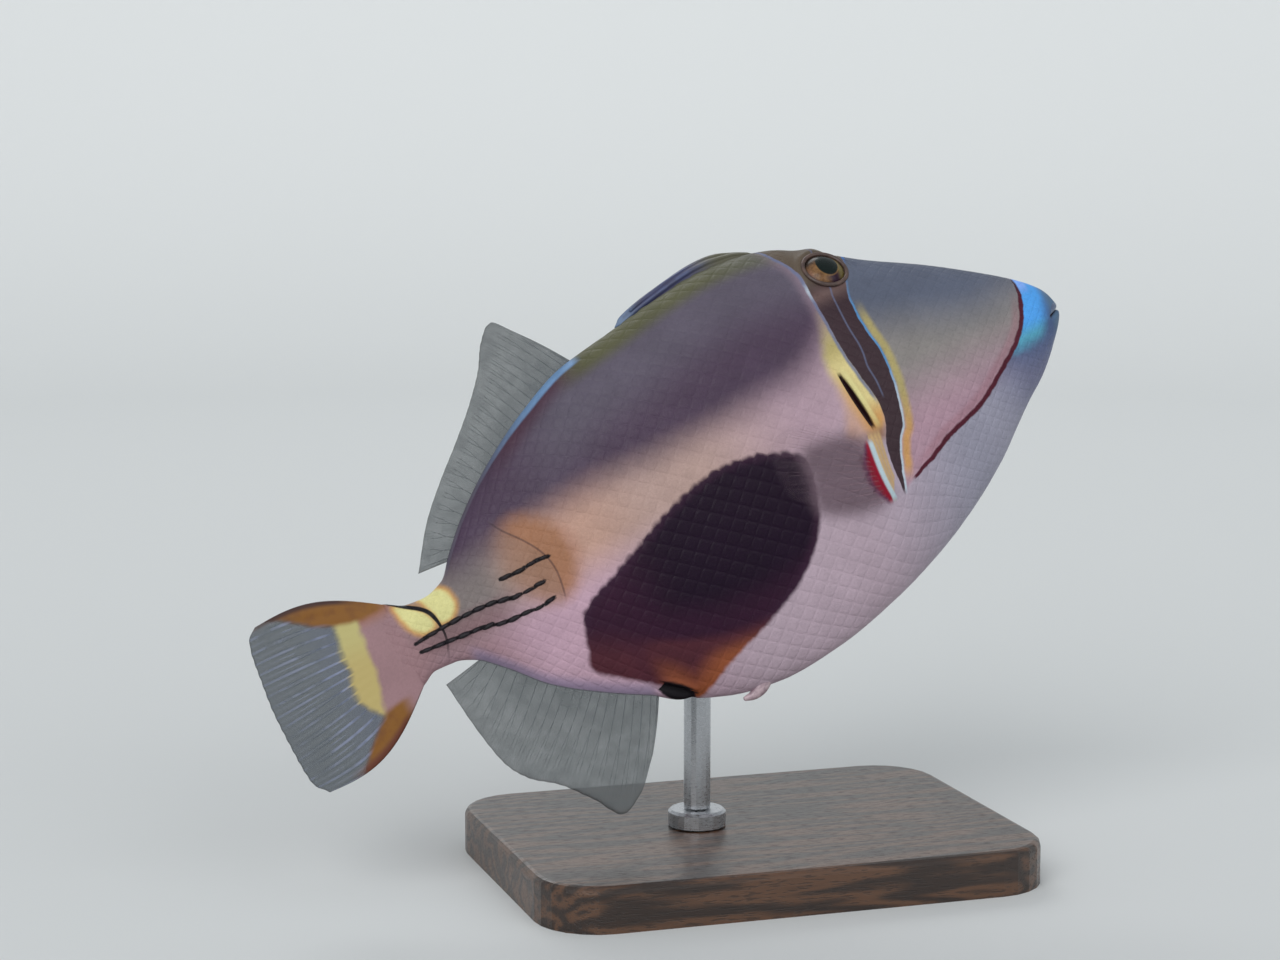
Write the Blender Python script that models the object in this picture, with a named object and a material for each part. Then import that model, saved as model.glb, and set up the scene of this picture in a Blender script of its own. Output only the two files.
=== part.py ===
"""Blackbelly triggerfish at life size, as a still display model on a plain stand.

The fish is modelled level in its own frame, in millimetres: a station is the distance behind the snout,
+Y is its left side and +Z its back. Its local X axis points forward, so a station s lies at x = -s.
The empty fish_pose tilts the whole fish over the stand. World units are metres, +Z up, and the origin
is the middle of the underside of the stand's base.
"""

import math

import bmesh
import bpy
from mathutils import Euler, Matrix, Vector

MM = 0.001
GAP = 0.35
EMBED = 2.5

PITCH_DEG = 23.0
BANK_DEG = -20.0
PIVOT_STATION = 83.0
PIVOT_HEIGHT = 88.0

BASE_LENGTH = 116.0
BASE_WIDTH = 84.0
BASE_HEIGHT = 10.0
BASE_CORNER = 14.0
BASE_BEVEL = 1.5
ROD_RADIUS = 3.0
ROD_STATION = 96.0
COLLAR_RADIUS = 6.5
COLLAR_HEIGHT = 4.0
COLLAR_CHAMFER = 0.6

BODY_END = 172.0
STATIONS = (0, 0.8, 2, 4, 6.5, 9.5, 13, 17, 21.5, 26, 31, 36, 41, 46, 51, 56, 61, 66, 71.5, 77,
            83, 89, 95, 101, 107, 113, 119, 124.5, 130, 135, 140, 144.5, 148.5, 152, 155, 158, 161,
            164, 167, 169.5, BODY_END)
RING_POINTS = 36
UPPER_FULLNESS = 0.95
LOWER_FULLNESS = 1.15

# Height of the back at each station.
BACK = ((0, 6.2), (1, 9), (3, 11.5), (7, 15), (14, 20), (24, 26.5), (36, 33), (46, 38.6), (56, 43.4),
        (64, 45.6), (72, 46.4), (84, 45.4), (96, 43.2), (110, 40.6), (122, 35.5), (134, 28.5), (145, 20),
        (151, 14), (155, 11), (160, 10), (166, 11.5), (BODY_END, 14.5))
# Height of the belly's edge at each station.
BELLY = ((0, 1.8), (1, 0), (4, -3.2), (10, -8.5), (17, -13), (29, -22), (40, -28.5), (52, -34),
         (66, -38.7), (82, -42.2), (94, -43.2), (104, -42.2), (113, -39.5), (124, -33.7), (134, -28),
         (144, -21), (151, -13.5), (156, -9.3), (160, -8.5), (166, -9.5), (BODY_END, -12))
# Half width of the body at each station.
HALF_WIDTH = ((0, 2.5), (1, 4), (4, 6.2), (12, 8.8), (24, 11.2), (38, 13.6), (50, 15.6), (62, 16.6),
              (76, 16.4), (92, 15), (106, 12.8), (120, 10.2), (134, 7.6), (146, 5.2), (154, 4.2),
              (160, 3.8), (166, 2.6), (BODY_END, 1.4))
# Height at which the body is widest.
WIDEST = ((0, 3.8), (20, 4), (45, 5), (70, 6), (100, 4), (130, 2), (BODY_END, 1))

GILL_POINT = (57.4, 4.0)
GILL_SLOPE = -0.02
STALK_CUT = 146.75
JAW_CUT = 5.0

EYE_STATION = 47.8
EYE_HEIGHT = 33.8
EYE_RADIUS = 4.9
EYE_DEPTH = 3.0
EYE_SUNK = 1.3
EYE_RIM = 0.55

# Rows of small forward-pointing spines on each side of the tail stalk: first and last station,
# height, number of spines.
SPINE_ROWS = ((133.0, 144.2, 3.8, 4), (136.3, 165.0, 0.1, 10), (136.6, 164.6, -4.0, 10))
SPINE_LENGTH = 2.1
SPINE_RISE = 1.0
SPINE_SUNK = 0.5
SPINE_ROOT = 0.62
SPINE_TIP = 0.14

# Bony scutes behind the gill opening: (station, height) of each middle.
SCUTES = ((61.6, 12.2), (61.4, 7.8), (61.2, 3.4), (65.4, 10.2), (65.2, 5.8), (65.0, 1.4), (69.2, 8.0))
SCUTE_LENGTH = 1.9
SCUTE_WIDTH = 2.3
SCUTE_RISE = 0.55
SCUTE_SUNK = 0.6
SCUTE_FACE = 0.78

VENT_STATION = 119.5
VENT_RADIUS = 1.5
VENT_DEPTH = 0.8
PELVIC_STATION = 101.0
# Pelvic spine: (distance behind its station, depth under the belly's edge, radius).
PELVIC_SPINE = ((0, 1.6, 2.0), (1.5, 0.2, 1.7), (3.5, -0.9, 1.1), (6.0, -1.3, 0.4))

GILL_MIDDLE = 4.0
GILL_LENGTH = 7.5
GILL_HALF_WIDTH = 0.7
GILL_HALF_DEPTH = 2.2
NOSTRILS = ((41.6, 34.0), (39.8, 32.6))
NOSTRIL_RADIUS = 0.75
NOSTRIL_DEPTH = 1.2

# Mouth edge of each jaw: (height at the snout tip, fall for each millimetre back).
MOUTH_UPPER = (4.5, 0.5)
MOUTH_LOWER = (3.1, 0.3)
# Plan of each lip from its corner to the snout's front: (station, distance from the mid line).
LIP_PLAN = ((4.5, 5.3), (3.6, 5.1), (2.6, 4.5), (1.8, 3.6), (1.3, 2.4), (1.1, 0.9))
LIP_RADIUS = 1.15
LIP_CORNER = 0.45
LIP_OFFSET = 0.95
# Front teeth on each side: (distance from the mid line, station).
TEETH = ((0.6, 1.3), (1.8, 1.6))
TOOTH_LENGTH = 0.38
TOOTH_SUNK = 0.9
TOOTH_RADIUS = 0.5

# Folded first dorsal fin: (station, half width, rise above the back).
FOLDED_FIN = ((58.6, 0.5, 0.2), (60, 1.6, 1.6), (63, 2.0, 2.2), (70, 1.9, 2.3), (78, 1.6, 2.2),
              (86, 1.2, 1.9), (92, 0.8, 1.4), (94.5, 0.4, 0.4))
FOLDED_DEPTH = 1.6
FOLDED_END_DEPTH = 0.3
# Spines of the folded fin: (root station, tip station, side shift, root radius, tip radius).
FOLDED_SPINES = ((61.0, 82.0, 0.0, 1.5, 0.6), (67.0, 86.0, 0.8, 1.0, 0.5), (71.0, 90.0, -0.8, 0.9, 0.45))

# Share along the root, then station and height of the ray's tip.
DORSAL_TIPS = ((0.0, 115.2, 52.3), (0.05, 119.0, 56.4), (0.15, 122.8, 53.6), (0.3, 126.6, 47.8),
               (0.45, 131.6, 42.0), (0.6, 138.2, 35.6), (0.75, 145.3, 29.2), (0.88, 151.8, 22.6),
               (1.0, 158.6, 13.2))
DORSAL_ROOT = (107.0, 152.0)
ANAL_TIPS = ((0.0, 130.5, -44.5), (0.06, 137.0, -51.0), (0.12, 141.8, -53.2), (0.25, 146.5, -47.5),
             (0.4, 151.7, -41.3), (0.55, 157.1, -37.0), (0.7, 160.3, -32.0), (0.85, 161.8, -24.5),
             (1.0, 163.2, -13.5))
ANAL_ROOT = (123.5, 155.5)
TAIL_TIPS = ((0.0, 196.3, 17.8), (0.1, 198.2, 13.6), (0.25, 199.0, 8.5), (0.5, 199.8, -1.5),
             (0.75, 199.6, -11.5), (0.9, 199.0, -17.2), (1.0, 196.5, -20.5))
PECTORAL_TIPS = ((0.0, 72.5, 4.6), (0.15, 77.2, 4.4), (0.3, 80.8, 2.2), (0.5, 82.4, -3.0),
                 (0.7, 82.0, -8.2), (0.85, 77.5, -12.6), (1.0, 71.0, -17.0))
PECTORAL_ROOT = ((60.6, -5.5), (60.2, -18.5))
DORSAL_RAYS = 24
ANAL_RAYS = 21
TAIL_RAYS = 12
PECTORAL_RAYS = 13
# Shares of a ray's length at which the sheets have rows, and the pectoral fin's distance off the flank.
FIN_LEVELS = (0.0, 0.12, 0.35, 0.6, 0.82, 1.0)
TAIL_LEVELS = (0.0, 0.15, 0.35, 0.55, 0.75, 0.9, 1.0)
PECTORAL_LEVELS = (0.0, 0.09, 0.3, 0.55, 0.8, 1.0)
PECTORAL_OFF_FLANK = (0.0, 1.4, 2.6, 3.4, 4.0, 4.4)
# Half thickness of a ray at its root and tip, and the share of it that the web has.
RAY_ROOT_HALF = 0.8
PECTORAL_ROOT_HALF = 1.1
RAY_TIP_HALF = 0.42
WEB_SHARE = 0.62
TAIL_WEB_SHARE = 0.7
WEB_LEAST_HALF = 0.27
TAIL_EDGE_THINNING = 0.45
TAIL_BOW_UPPER = 2.4
TAIL_BOW_LOWER = 3.6

SHARP_ANGLE_DEG = 40.0
GREY_MAUVE = (0.20, 0.16, 0.17)
PALE_LILAC = (0.46, 0.36, 0.42)
FIN_GREY = (0.42, 0.45, 0.44)
LIP_BLUE = (0.12, 0.24, 0.50)
SPINE_BLUE = (0.05, 0.07, 0.16)
EYE_BROWN = (0.25, 0.13, 0.05)
STAND_WOOD = (0.06, 0.035, 0.025)
STAND_STEEL = (0.55, 0.55, 0.56)


def clear_scene():
    for obj in list(bpy.data.objects):
        bpy.data.objects.remove(obj, do_unlink=True)


def make_material(name, colour, roughness=0.45, metallic=0.0):
    material = bpy.data.materials.new(name)
    material.use_nodes = True
    shader = material.node_tree.nodes["Principled BSDF"]
    shader.inputs["Base Color"].default_value = (*colour, 1.0)
    shader.inputs["Roughness"].default_value = roughness
    shader.inputs["Metallic"].default_value = metallic
    return material


def along(points, x):
    """Smooth curve through (x, value) points that never overshoots them: a monotone cubic."""
    xs = [p[0] for p in points]
    ys = [p[1] for p in points]
    x = min(max(x, xs[0]), xs[-1])
    steps = [b - a for a, b in zip(xs, xs[1:])]
    slopes = [(b - a) / h for a, b, h in zip(ys, ys[1:], steps)]
    tangents = [slopes[0]]
    for k in range(1, len(xs) - 1):
        before, after = slopes[k - 1], slopes[k]
        if before * after <= 0:
            tangents.append(0.0)
            continue
        first = 2 * steps[k] + steps[k - 1]
        second = steps[k] + 2 * steps[k - 1]
        tangents.append((first + second) / (first / before + second / after))
    tangents.append(slopes[-1])
    k = max(i for i in range(len(steps)) if xs[i] <= x)
    t = (x - xs[k]) / steps[k]
    return ((2 * t ** 3 - 3 * t ** 2 + 1) * ys[k] + (t ** 3 - 2 * t ** 2 + t) * steps[k] * tangents[k]
            + (3 * t ** 2 - 2 * t ** 3) * ys[k + 1] + (t ** 3 - t ** 2) * steps[k] * tangents[k + 1])


def body_point(station, angle, grow=0.0):
    """Point of the body's surface, in millimetres: angle 0 is the back, 90 degrees the left side."""
    middle = along(WIDEST, station)
    upper = math.cos(angle) >= 0
    reach = along(BACK, station) - middle if upper else middle - along(BELLY, station)
    fullness = UPPER_FULLNESS if upper else LOWER_FULLNESS
    side = math.copysign(abs(math.sin(angle)) ** fullness, math.sin(angle))
    width = along(HALF_WIDTH, station) + grow
    return Vector((-station, width * side, middle + (reach + grow) * math.cos(angle)))


def flank_point(station, height, side=1, out=0.0):
    """Point on the flank at a station and height, moved outwards along the surface's normal."""
    middle = along(WIDEST, station)
    reach = along(BACK, station) - middle if height >= middle else middle - along(BELLY, station)
    angle = math.acos(max(-1.0, min(1.0, (height - middle) / reach)))
    point = body_point(station, angle)
    ahead = body_point(station - 0.5, angle) - body_point(station + 0.5, angle)
    round_it = body_point(station, angle - 0.02) - body_point(station, angle + 0.02)
    normal = round_it.cross(ahead).normalized()
    if normal.y < 0:
        normal.negate()
    moved = point + normal * out
    return Vector((moved.x, moved.y * side, moved.z)), Vector((normal.x, normal.y * side, normal.z))


def new_object(name, bm, material, parent):
    """Makes an object from a bmesh in millimetres, under its parent."""
    bmesh.ops.recalc_face_normals(bm, faces=bm.faces)
    bmesh.ops.scale(bm, vec=(MM, MM, MM), verts=bm.verts)
    mesh = bpy.data.meshes.new(name)
    bm.to_mesh(mesh)
    bm.free()
    mesh.shade_smooth()
    mesh.set_sharp_from_angle(angle=math.radians(SHARP_ANGLE_DEG))
    if material:
        mesh.materials.append(material)
    obj = bpy.data.objects.new(name, mesh)
    bpy.context.scene.collection.objects.link(obj)
    obj.parent = parent
    return obj


def loft(rings):
    """Closed bmesh through rings of points, each pair joined by a bridge, with flat ends."""
    bm = bmesh.new()
    loops = []
    for ring in rings:
        verts = [bm.verts.new(p) for p in ring]
        loops.append([bm.edges.new((a, b)) for a, b in zip(verts, verts[1:] + verts[:1])])
    for first, second in zip(loops, loops[1:]):
        bmesh.ops.bridge_loops(bm, edges=first + second)
    bmesh.ops.holes_fill(bm, edges=loops[0] + loops[-1], sides=0)
    return bm


def body_bmesh(grow=0.0):
    """The whole body from snout to tail base, grown outwards by a few tenths of a millimetre for cutters."""
    rings = []
    for station in STATIONS:
        turn = [2 * math.pi * k / RING_POINTS for k in range(RING_POINTS)]
        rings.append([body_point(station, a, grow) for a in turn])
    for point in rings[-1]:
        point.x -= grow
    return loft(rings)


def keep_behind(bm, point, normal):
    """Cuts off what lies on the normal's side of a plane and closes the cut."""
    geometry = bm.verts[:] + bm.edges[:] + bm.faces[:]
    bmesh.ops.bisect_plane(bm, geom=geometry, plane_co=point, plane_no=normal, clear_outer=True)
    open_edges = [e for e in bm.edges if e.is_boundary]
    bmesh.ops.holes_fill(bm, edges=open_edges, sides=0)


def gill_plane(offset):
    """Point and backward normal of the plane through both gill openings, moved back by an offset."""
    station, height = GILL_POINT
    normal = Vector((-1, 0, -GILL_SLOPE)).normalized()
    return Vector((-station, 0, height)) + normal * offset, normal


def body_slice(front=None, back=None):
    """Part of the body between two planes, each given as a point and its backward normal."""
    bm = body_bmesh()
    if front:
        keep_behind(bm, front[0], -front[1])
    if back:
        keep_behind(bm, back[0], back[1])
    return bm


def station_plane(station, offset):
    return Vector((-station - offset, 0, 0)), Vector((-1, 0, 0))


def tapered_rod(path, radii, sides=6):
    """Closed bmesh of a round rod along a path of points, with a radius at each."""
    rings = []
    for k, (point, radius) in enumerate(zip(path, radii)):
        ahead = (path[min(k + 1, len(path) - 1)] - path[max(k - 1, 0)]).normalized()
        if k == 0:
            across = ahead.orthogonal()
        across = (across - ahead * across.dot(ahead)).normalized()
        other = ahead.cross(across)
        turn = [2 * math.pi * n / sides for n in range(sides)]
        rings.append([point + (across * math.cos(a) + other * math.sin(a)) * radius for a in turn])
    return loft(rings)


def ellipsoid(centre, axis, radius, depth, segments=16, rings=8):
    """Closed bmesh of a ball flattened along an axis."""
    bm = bmesh.new()
    bmesh.ops.create_uvsphere(bm, u_segments=segments, v_segments=rings, radius=1.0)
    bmesh.ops.scale(bm, vec=(radius, radius, depth), verts=bm.verts)
    turn = axis.to_track_quat("Z", "Y").to_matrix().to_4x4()
    bmesh.ops.transform(bm, matrix=Matrix.Translation(centre) @ turn, verts=bm.verts)
    return bm


def ring_tube(centre, axis, radius, thickness, segments=20, sides=5):
    """Closed bmesh of a torus round an axis."""
    bm = bmesh.new()
    turn = axis.to_track_quat("Z", "Y").to_matrix().to_4x4()
    loops = []
    for k in range(segments):
        a = 2 * math.pi * k / segments
        verts = []
        for n in range(sides):
            b = 2 * math.pi * n / sides
            reach = radius + thickness * math.cos(b)
            verts.append(bm.verts.new((reach * math.cos(a), reach * math.sin(a), thickness * math.sin(b))))
        loops.append([bm.edges.new((p, q)) for p, q in zip(verts, verts[1:] + verts[:1])])
    for first, second in zip(loops, loops[1:] + loops[:1]):
        bmesh.ops.bridge_loops(bm, edges=first + second)
    bmesh.ops.transform(bm, matrix=Matrix.Translation(centre) @ turn, verts=bm.verts)
    return bm


def sheet(rows, half_thickness):
    """Closed bmesh of a thin sheet round rows of middle points, both faces split the same way."""
    bm = bmesh.new()
    count, width = len(rows), len(rows[0])
    faces = ([], [])
    for i in range(count):
        for side in (0, 1):
            faces[side].append([])
        for j in range(width):
            down = rows[min(i + 1, count - 1)][j] - rows[max(i - 1, 0)][j]
            over = rows[i][min(j + 1, width - 1)] - rows[i][max(j - 1, 0)]
            normal = over.cross(down).normalized()
            for side, sign in ((0, 1), (1, -1)):
                faces[side][i].append(bm.verts.new(rows[i][j] + normal * half_thickness[i][j] * sign))
    for i in range(count - 1):
        for j in range(width - 1):
            for grid in faces:
                bm.faces.new((grid[i][j], grid[i][j + 1], grid[i + 1][j + 1]))
                bm.faces.new((grid[i][j], grid[i + 1][j + 1], grid[i + 1][j]))
    top, under = faces
    for i in range(count - 1):
        for j in (0, width - 1):
            bm.faces.new((top[i][j], top[i + 1][j], under[i + 1][j]))
            bm.faces.new((top[i][j], under[i + 1][j], under[i][j]))
    for j in range(width - 1):
        for i in (0, count - 1):
            bm.faces.new((top[i][j], top[i][j + 1], under[i][j + 1]))
            bm.faces.new((top[i][j], under[i][j + 1], under[i][j]))
    return bm


def apply_boolean(obj, others, operation, solver="EXACT"):
    """Applies one Boolean with one or more closed objects, then removes them."""
    tools = bpy.data.collections.new(obj.name + "_tools")
    bpy.context.scene.collection.children.link(tools)
    for other in others:
        other.hide_render = True
        other.display_type = "WIRE"
        for home in list(other.users_collection):
            home.objects.unlink(other)
        tools.objects.link(other)
    modifier = obj.modifiers.new(operation.title(), "BOOLEAN")
    modifier.operation = operation
    modifier.operand_type = "COLLECTION"
    modifier.collection = tools
    modifier.solver = solver
    apply_modifiers(obj)
    for other in list(tools.objects):
        bpy.data.objects.remove(other, do_unlink=True)
    bpy.data.collections.remove(tools)
    keep_largest_surface(obj)


def apply_modifiers(obj):
    bpy.context.view_layer.update()
    evaluated = obj.evaluated_get(bpy.context.evaluated_depsgraph_get())
    mesh = bpy.data.meshes.new_from_object(evaluated)
    obj.modifiers.clear()
    obj.data = mesh


def keep_largest_surface(obj):
    """Drops loose scraps, so that the object is one closed body."""
    bm = bmesh.new()
    bm.from_mesh(obj.data)
    bmesh.ops.remove_doubles(bm, verts=bm.verts, dist=0.00001)
    unseen = set(bm.faces)
    groups = []
    while unseen:
        group = []
        waiting = [unseen.pop()]
        while waiting:
            face = waiting.pop()
            group.append(face)
            for edge in face.edges:
                for other in edge.link_faces:
                    if other in unseen:
                        unseen.discard(other)
                        waiting.append(other)
        groups.append(group)
    groups.sort(key=lambda group: sum(f.calc_area() for f in group))
    scraps = [f for group in groups[:-1] for f in group]
    bmesh.ops.delete(bm, geom=scraps, context="FACES")
    bm.to_mesh(obj.data)
    bm.free()
    obj.data.shade_smooth()
    obj.data.set_sharp_from_angle(angle=math.radians(SHARP_ANGLE_DEG))


def eye_place(side):
    """Centre of the flattened eyeball on one side, and the direction it looks in."""
    point, normal = flank_point(EYE_STATION, EYE_HEIGHT, side)
    return point - normal * EYE_SUNK, normal


def eyeball(side, grow=0.0):
    centre, normal = eye_place(side)
    return ellipsoid(centre, normal, EYE_RADIUS + grow, EYE_DEPTH + grow)


def eye_rim(side):
    centre, normal = eye_place(side)
    rim_height = EYE_SUNK + 0.1
    radius = EYE_RADIUS * math.sqrt(1 - (rim_height / EYE_DEPTH) ** 2) + GAP + EYE_RIM
    return ring_tube(centre + normal * rim_height, normal, radius, EYE_RIM)


def gill_cutter(side):
    """Long thin lens that opens the gill slit where head and trunk meet."""
    point, normal = flank_point(GILL_POINT[0], GILL_MIDDLE, side)
    bm = bmesh.new()
    bmesh.ops.create_uvsphere(bm, u_segments=12, v_segments=8, radius=1.0)
    bmesh.ops.scale(bm, vec=(GILL_HALF_WIDTH, GILL_HALF_DEPTH, GILL_LENGTH), verts=bm.verts)
    turn = normal.to_track_quat("Y", "Z").to_matrix().to_4x4()
    bmesh.ops.transform(bm, matrix=Matrix.Translation(point) @ turn, verts=bm.verts)
    return bm


def nostril_cutter(place, side):
    point, normal = flank_point(*place, side)
    return ellipsoid(point, normal, NOSTRIL_RADIUS, NOSTRIL_DEPTH, 8, 6)


def tool(name, bm, fish):
    return new_object("tool_" + name, bm, None, fish)


def make_head(fish, material):
    flesh = body_slice(station_plane(JAW_CUT, GAP / 2), gill_plane(-GAP / 2))
    head = new_object("head", flesh, material, fish)
    apply_boolean(head, [tool("rim", eye_rim(side), fish) for side in (1, -1)], "UNION")
    cutters = []
    for side in (1, -1):
        cutters.append(tool("socket", eyeball(side, GAP), fish))
        cutters.append(tool("gill", gill_cutter(side), fish))
        cutters += [tool("nostril", nostril_cutter(place, side), fish) for place in NOSTRILS]
    apply_boolean(head, cutters, "DIFFERENCE")


def make_eyes(fish, material):
    for name, side in (("eye_left", 1), ("eye_right", -1)):
        new_object(name, eyeball(side), material, fish)


def folded_fin(grow=0.0):
    """Blade of spines and web that lies in the groove along the back."""
    rings = []
    for k, (station, half_width, rise) in enumerate(FOLDED_FIN):
        shift = -grow if k == 0 else grow if k == len(FOLDED_FIN) - 1 else 0
        depth = FOLDED_DEPTH if 0 < k < len(FOLDED_FIN) - 1 else FOLDED_END_DEPTH
        back = along(BACK, station)
        middle = back + (rise - depth) / 2
        half = (rise + depth) / 2 + grow
        turn = [2 * math.pi * n / 10 for n in range(10)]
        wide = half_width + grow
        x = -station - shift
        rings.append([Vector((x, wide * math.sin(a), middle + half * math.cos(a))) for a in turn])
    return loft(rings)


def make_first_dorsal(fish, material):
    """The folded fin: a blade of web with its three spines lying back along the top."""
    fin = new_object("first_dorsal_fin", folded_fin(), material, fish)
    spines = []
    for root, tip, shift, root_radius, tip_radius in FOLDED_SPINES:
        path = []
        for k in range(4):
            station = root + (tip - root) * k / 3
            rise = along([(f[0], f[2]) for f in FOLDED_FIN], station)
            sunk = FOLDED_DEPTH if k == 0 else 0.75
            path.append(Vector((-station, shift * k / 3, along(BACK, station) + rise - sunk)))
        radii = [root_radius + (tip_radius - root_radius) * k / 3 for k in range(4)]
        spines.append(tool("spine", tapered_rod(path, radii, 6), fish))
    apply_boolean(fin, spines, "UNION")


def stalk_spine(station, height, side):
    """One small spine, its root sunk in the skin and its tip pointing forward and out."""
    root, normal = flank_point(station, height, side, -SPINE_SUNK)
    tip = root + normal * (SPINE_RISE + SPINE_SUNK) + Vector((SPINE_LENGTH, 0, 0))
    return tapered_rod([root, tip], (SPINE_ROOT, SPINE_TIP), 5)


def stalk_spines(fish, first, last):
    """The row spines whose roots lie between two stations, on both sides."""
    found = []
    for start, end, height, count in SPINE_ROWS:
        for k in range(count):
            station = start + (end - start) * k / (count - 1)
            if first < station < last:
                found += [tool("spine", stalk_spine(station, height, side), fish) for side in (1, -1)]
    return found


def scute(station, height, side):
    """Six-sided bony plate raised on the flank, narrower at its face."""
    rings = []
    for out, scale in ((-SCUTE_SUNK, 1.0), (SCUTE_RISE, SCUTE_FACE)):
        ring = []
        for k in range(6):
            a = 2 * math.pi * k / 6
            along_s = SCUTE_LENGTH * scale * math.cos(a)
            along_z = SCUTE_WIDTH * scale * math.sin(a)
            ring.append(flank_point(station + along_s, height + along_z, side, out)[0])
        rings.append(ring)
    return loft(rings)


def vent_cutter():
    """Small pit of the vent on the belly's edge, just in front of the anal fin."""
    centre = Vector((-VENT_STATION, 0, along(BELLY, VENT_STATION)))
    return ellipsoid(centre, Vector((0, 0, 1)), VENT_RADIUS, VENT_DEPTH, 10, 6)


def make_trunk(fish, material):
    flesh = body_slice(gill_plane(GAP / 2), station_plane(STALK_CUT, -GAP / 2))
    trunk = new_object("trunk", flesh, material, fish)
    raised = [tool("scute", scute(*place, side), fish) for place in SCUTES for side in (1, -1)]
    raised += stalk_spines(fish, 0, STALK_CUT - SPINE_ROOT)
    apply_boolean(trunk, raised, "UNION")
    cutters = [tool("gill", gill_cutter(side), fish) for side in (1, -1)]
    cutters.append(tool("groove", folded_fin(GAP), fish))
    cutters.append(tool("vent", vent_cutter(), fish))
    apply_boolean(trunk, cutters, "DIFFERENCE")


def make_tail_stalk(fish, material):
    stalk = new_object("tail_stalk", body_slice(station_plane(STALK_CUT, GAP / 2)), material, fish)
    apply_boolean(stalk, stalk_spines(fish, STALK_CUT + SPINE_LENGTH, BODY_END), "UNION")


def lip(height, slope, up):
    """Rounded lip round the mouth edge of one jaw, thinner at the corners."""
    plan = list(LIP_PLAN) + [(s, -y) for s, y in reversed(LIP_PLAN)]
    path = [Vector((-s, y, height - slope * s + LIP_OFFSET * up)) for s, y in plan]
    middle = (len(path) - 1) / 2
    shrink = LIP_CORNER - LIP_RADIUS
    radii = [LIP_RADIUS + shrink * (abs(k - middle) / middle) ** 2 for k in range(len(path))]
    return tapered_rod(path, radii, 8)


def tooth(station, y, height, slope, up):
    edge = height - slope * station
    root = Vector((-station, y, edge + TOOTH_SUNK * up))
    tip = Vector((-station, y, edge - TOOTH_LENGTH * up))
    return tapered_rod([root, tip], (TOOTH_RADIUS, 0.75 * TOOTH_RADIUS), 5)


def make_jaws(fish, material):
    """Upper and lower jaw, parted by the slightly open mouth, each with its lip and front teeth."""
    for name, (height, slope), up in (("jaw_upper", MOUTH_UPPER, 1), ("jaw_lower", MOUTH_LOWER, -1)):
        bm = body_slice(None, station_plane(JAW_CUT, -GAP / 2))
        keep_behind(bm, Vector((0, 0, height)), Vector((-slope, 0, 1)).normalized() * -up)
        jaw = new_object(name, bm, material, fish)
        parts = [tool("lip", lip(height, slope, up), fish)]
        for y, station in TEETH:
            parts += [tool("tooth", tooth(station, y * side, height, slope, up), fish) for side in (1, -1)]
        apply_boolean(jaw, parts, "UNION")


def tip_at(tips, share):
    station = along([(t[0], t[1]) for t in tips], share)
    height = along([(t[0], t[2]) for t in tips], share)
    return station, height


def ray_shares(rays):
    """Each ray's place along the root, with a web column between rays: (share, whether it is a ray)."""
    columns = 2 * rays - 1
    return [(k / (columns - 1), k % 2 == 0) for k in range(columns)]


def thickness(ray, t, root=RAY_ROOT_HALF, web=WEB_SHARE):
    """Half thickness of a ray or of the web beside it, from the root at t = 0 to the margin at t = 1."""
    half = root + (RAY_TIP_HALF - root) * t
    return half if ray else max(half * web, WEB_LEAST_HALF)


def make_median_fin(name, fish, material, root, edge, tips, rays):
    """Fin on the body's mid line: rays fan from the root along an edge curve out to their tips."""
    rows = [[] for _ in range(len(FIN_LEVELS) + 1)]
    halves = [[] for _ in rows]
    for share, ray in ray_shares(rays):
        station = root[0] + (root[1] - root[0]) * share
        start = Vector((-station, 0, along(edge, station)))
        tip_station, tip_height = tip_at(tips, share)
        end = Vector((-tip_station, 0, tip_height))
        inward = (start - end).normalized() * EMBED
        rows[0].append(start + inward)
        halves[0].append(thickness(ray, 0))
        for i, t in enumerate(FIN_LEVELS):
            rows[i + 1].append(start.lerp(end, t))
            halves[i + 1].append(thickness(ray, t))
    fin = new_object(name, sheet(rows, halves), material, fish)
    apply_boolean(fin, [tool("body", body_bmesh(GAP), fish)], "DIFFERENCE")


def make_tail_fin(fish, material):
    """Tail fin: rays fan from the cut end of the tail stalk, face to face with it."""
    rows = [[] for _ in TAIL_LEVELS]
    halves = [[] for _ in TAIL_LEVELS]
    top, bottom = along(BACK, BODY_END), along(BELLY, BODY_END)
    root_half = along(HALF_WIDTH, BODY_END)
    for share, ray in ray_shares(TAIL_RAYS):
        start = Vector((-BODY_END - GAP, 0, top + (bottom - top) * share))
        tip_station, tip_height = tip_at(TAIL_TIPS, share)
        end = Vector((-tip_station, 0, tip_height))
        edge = 2 * share - 1
        bow = -edge * abs(edge) * (TAIL_BOW_UPPER if edge < 0 else TAIL_BOW_LOWER)
        root = root_half * (1 - TAIL_EDGE_THINNING * abs(edge))
        for i, t in enumerate(TAIL_LEVELS):
            rows[i].append(start.lerp(end, t) + Vector((0, 0, bow * math.sin(math.pi * t))))
            halves[i].append(thickness(ray, t, root, TAIL_WEB_SHARE))
    return new_object("tail_fin", sheet(rows, halves), material, fish)


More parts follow.
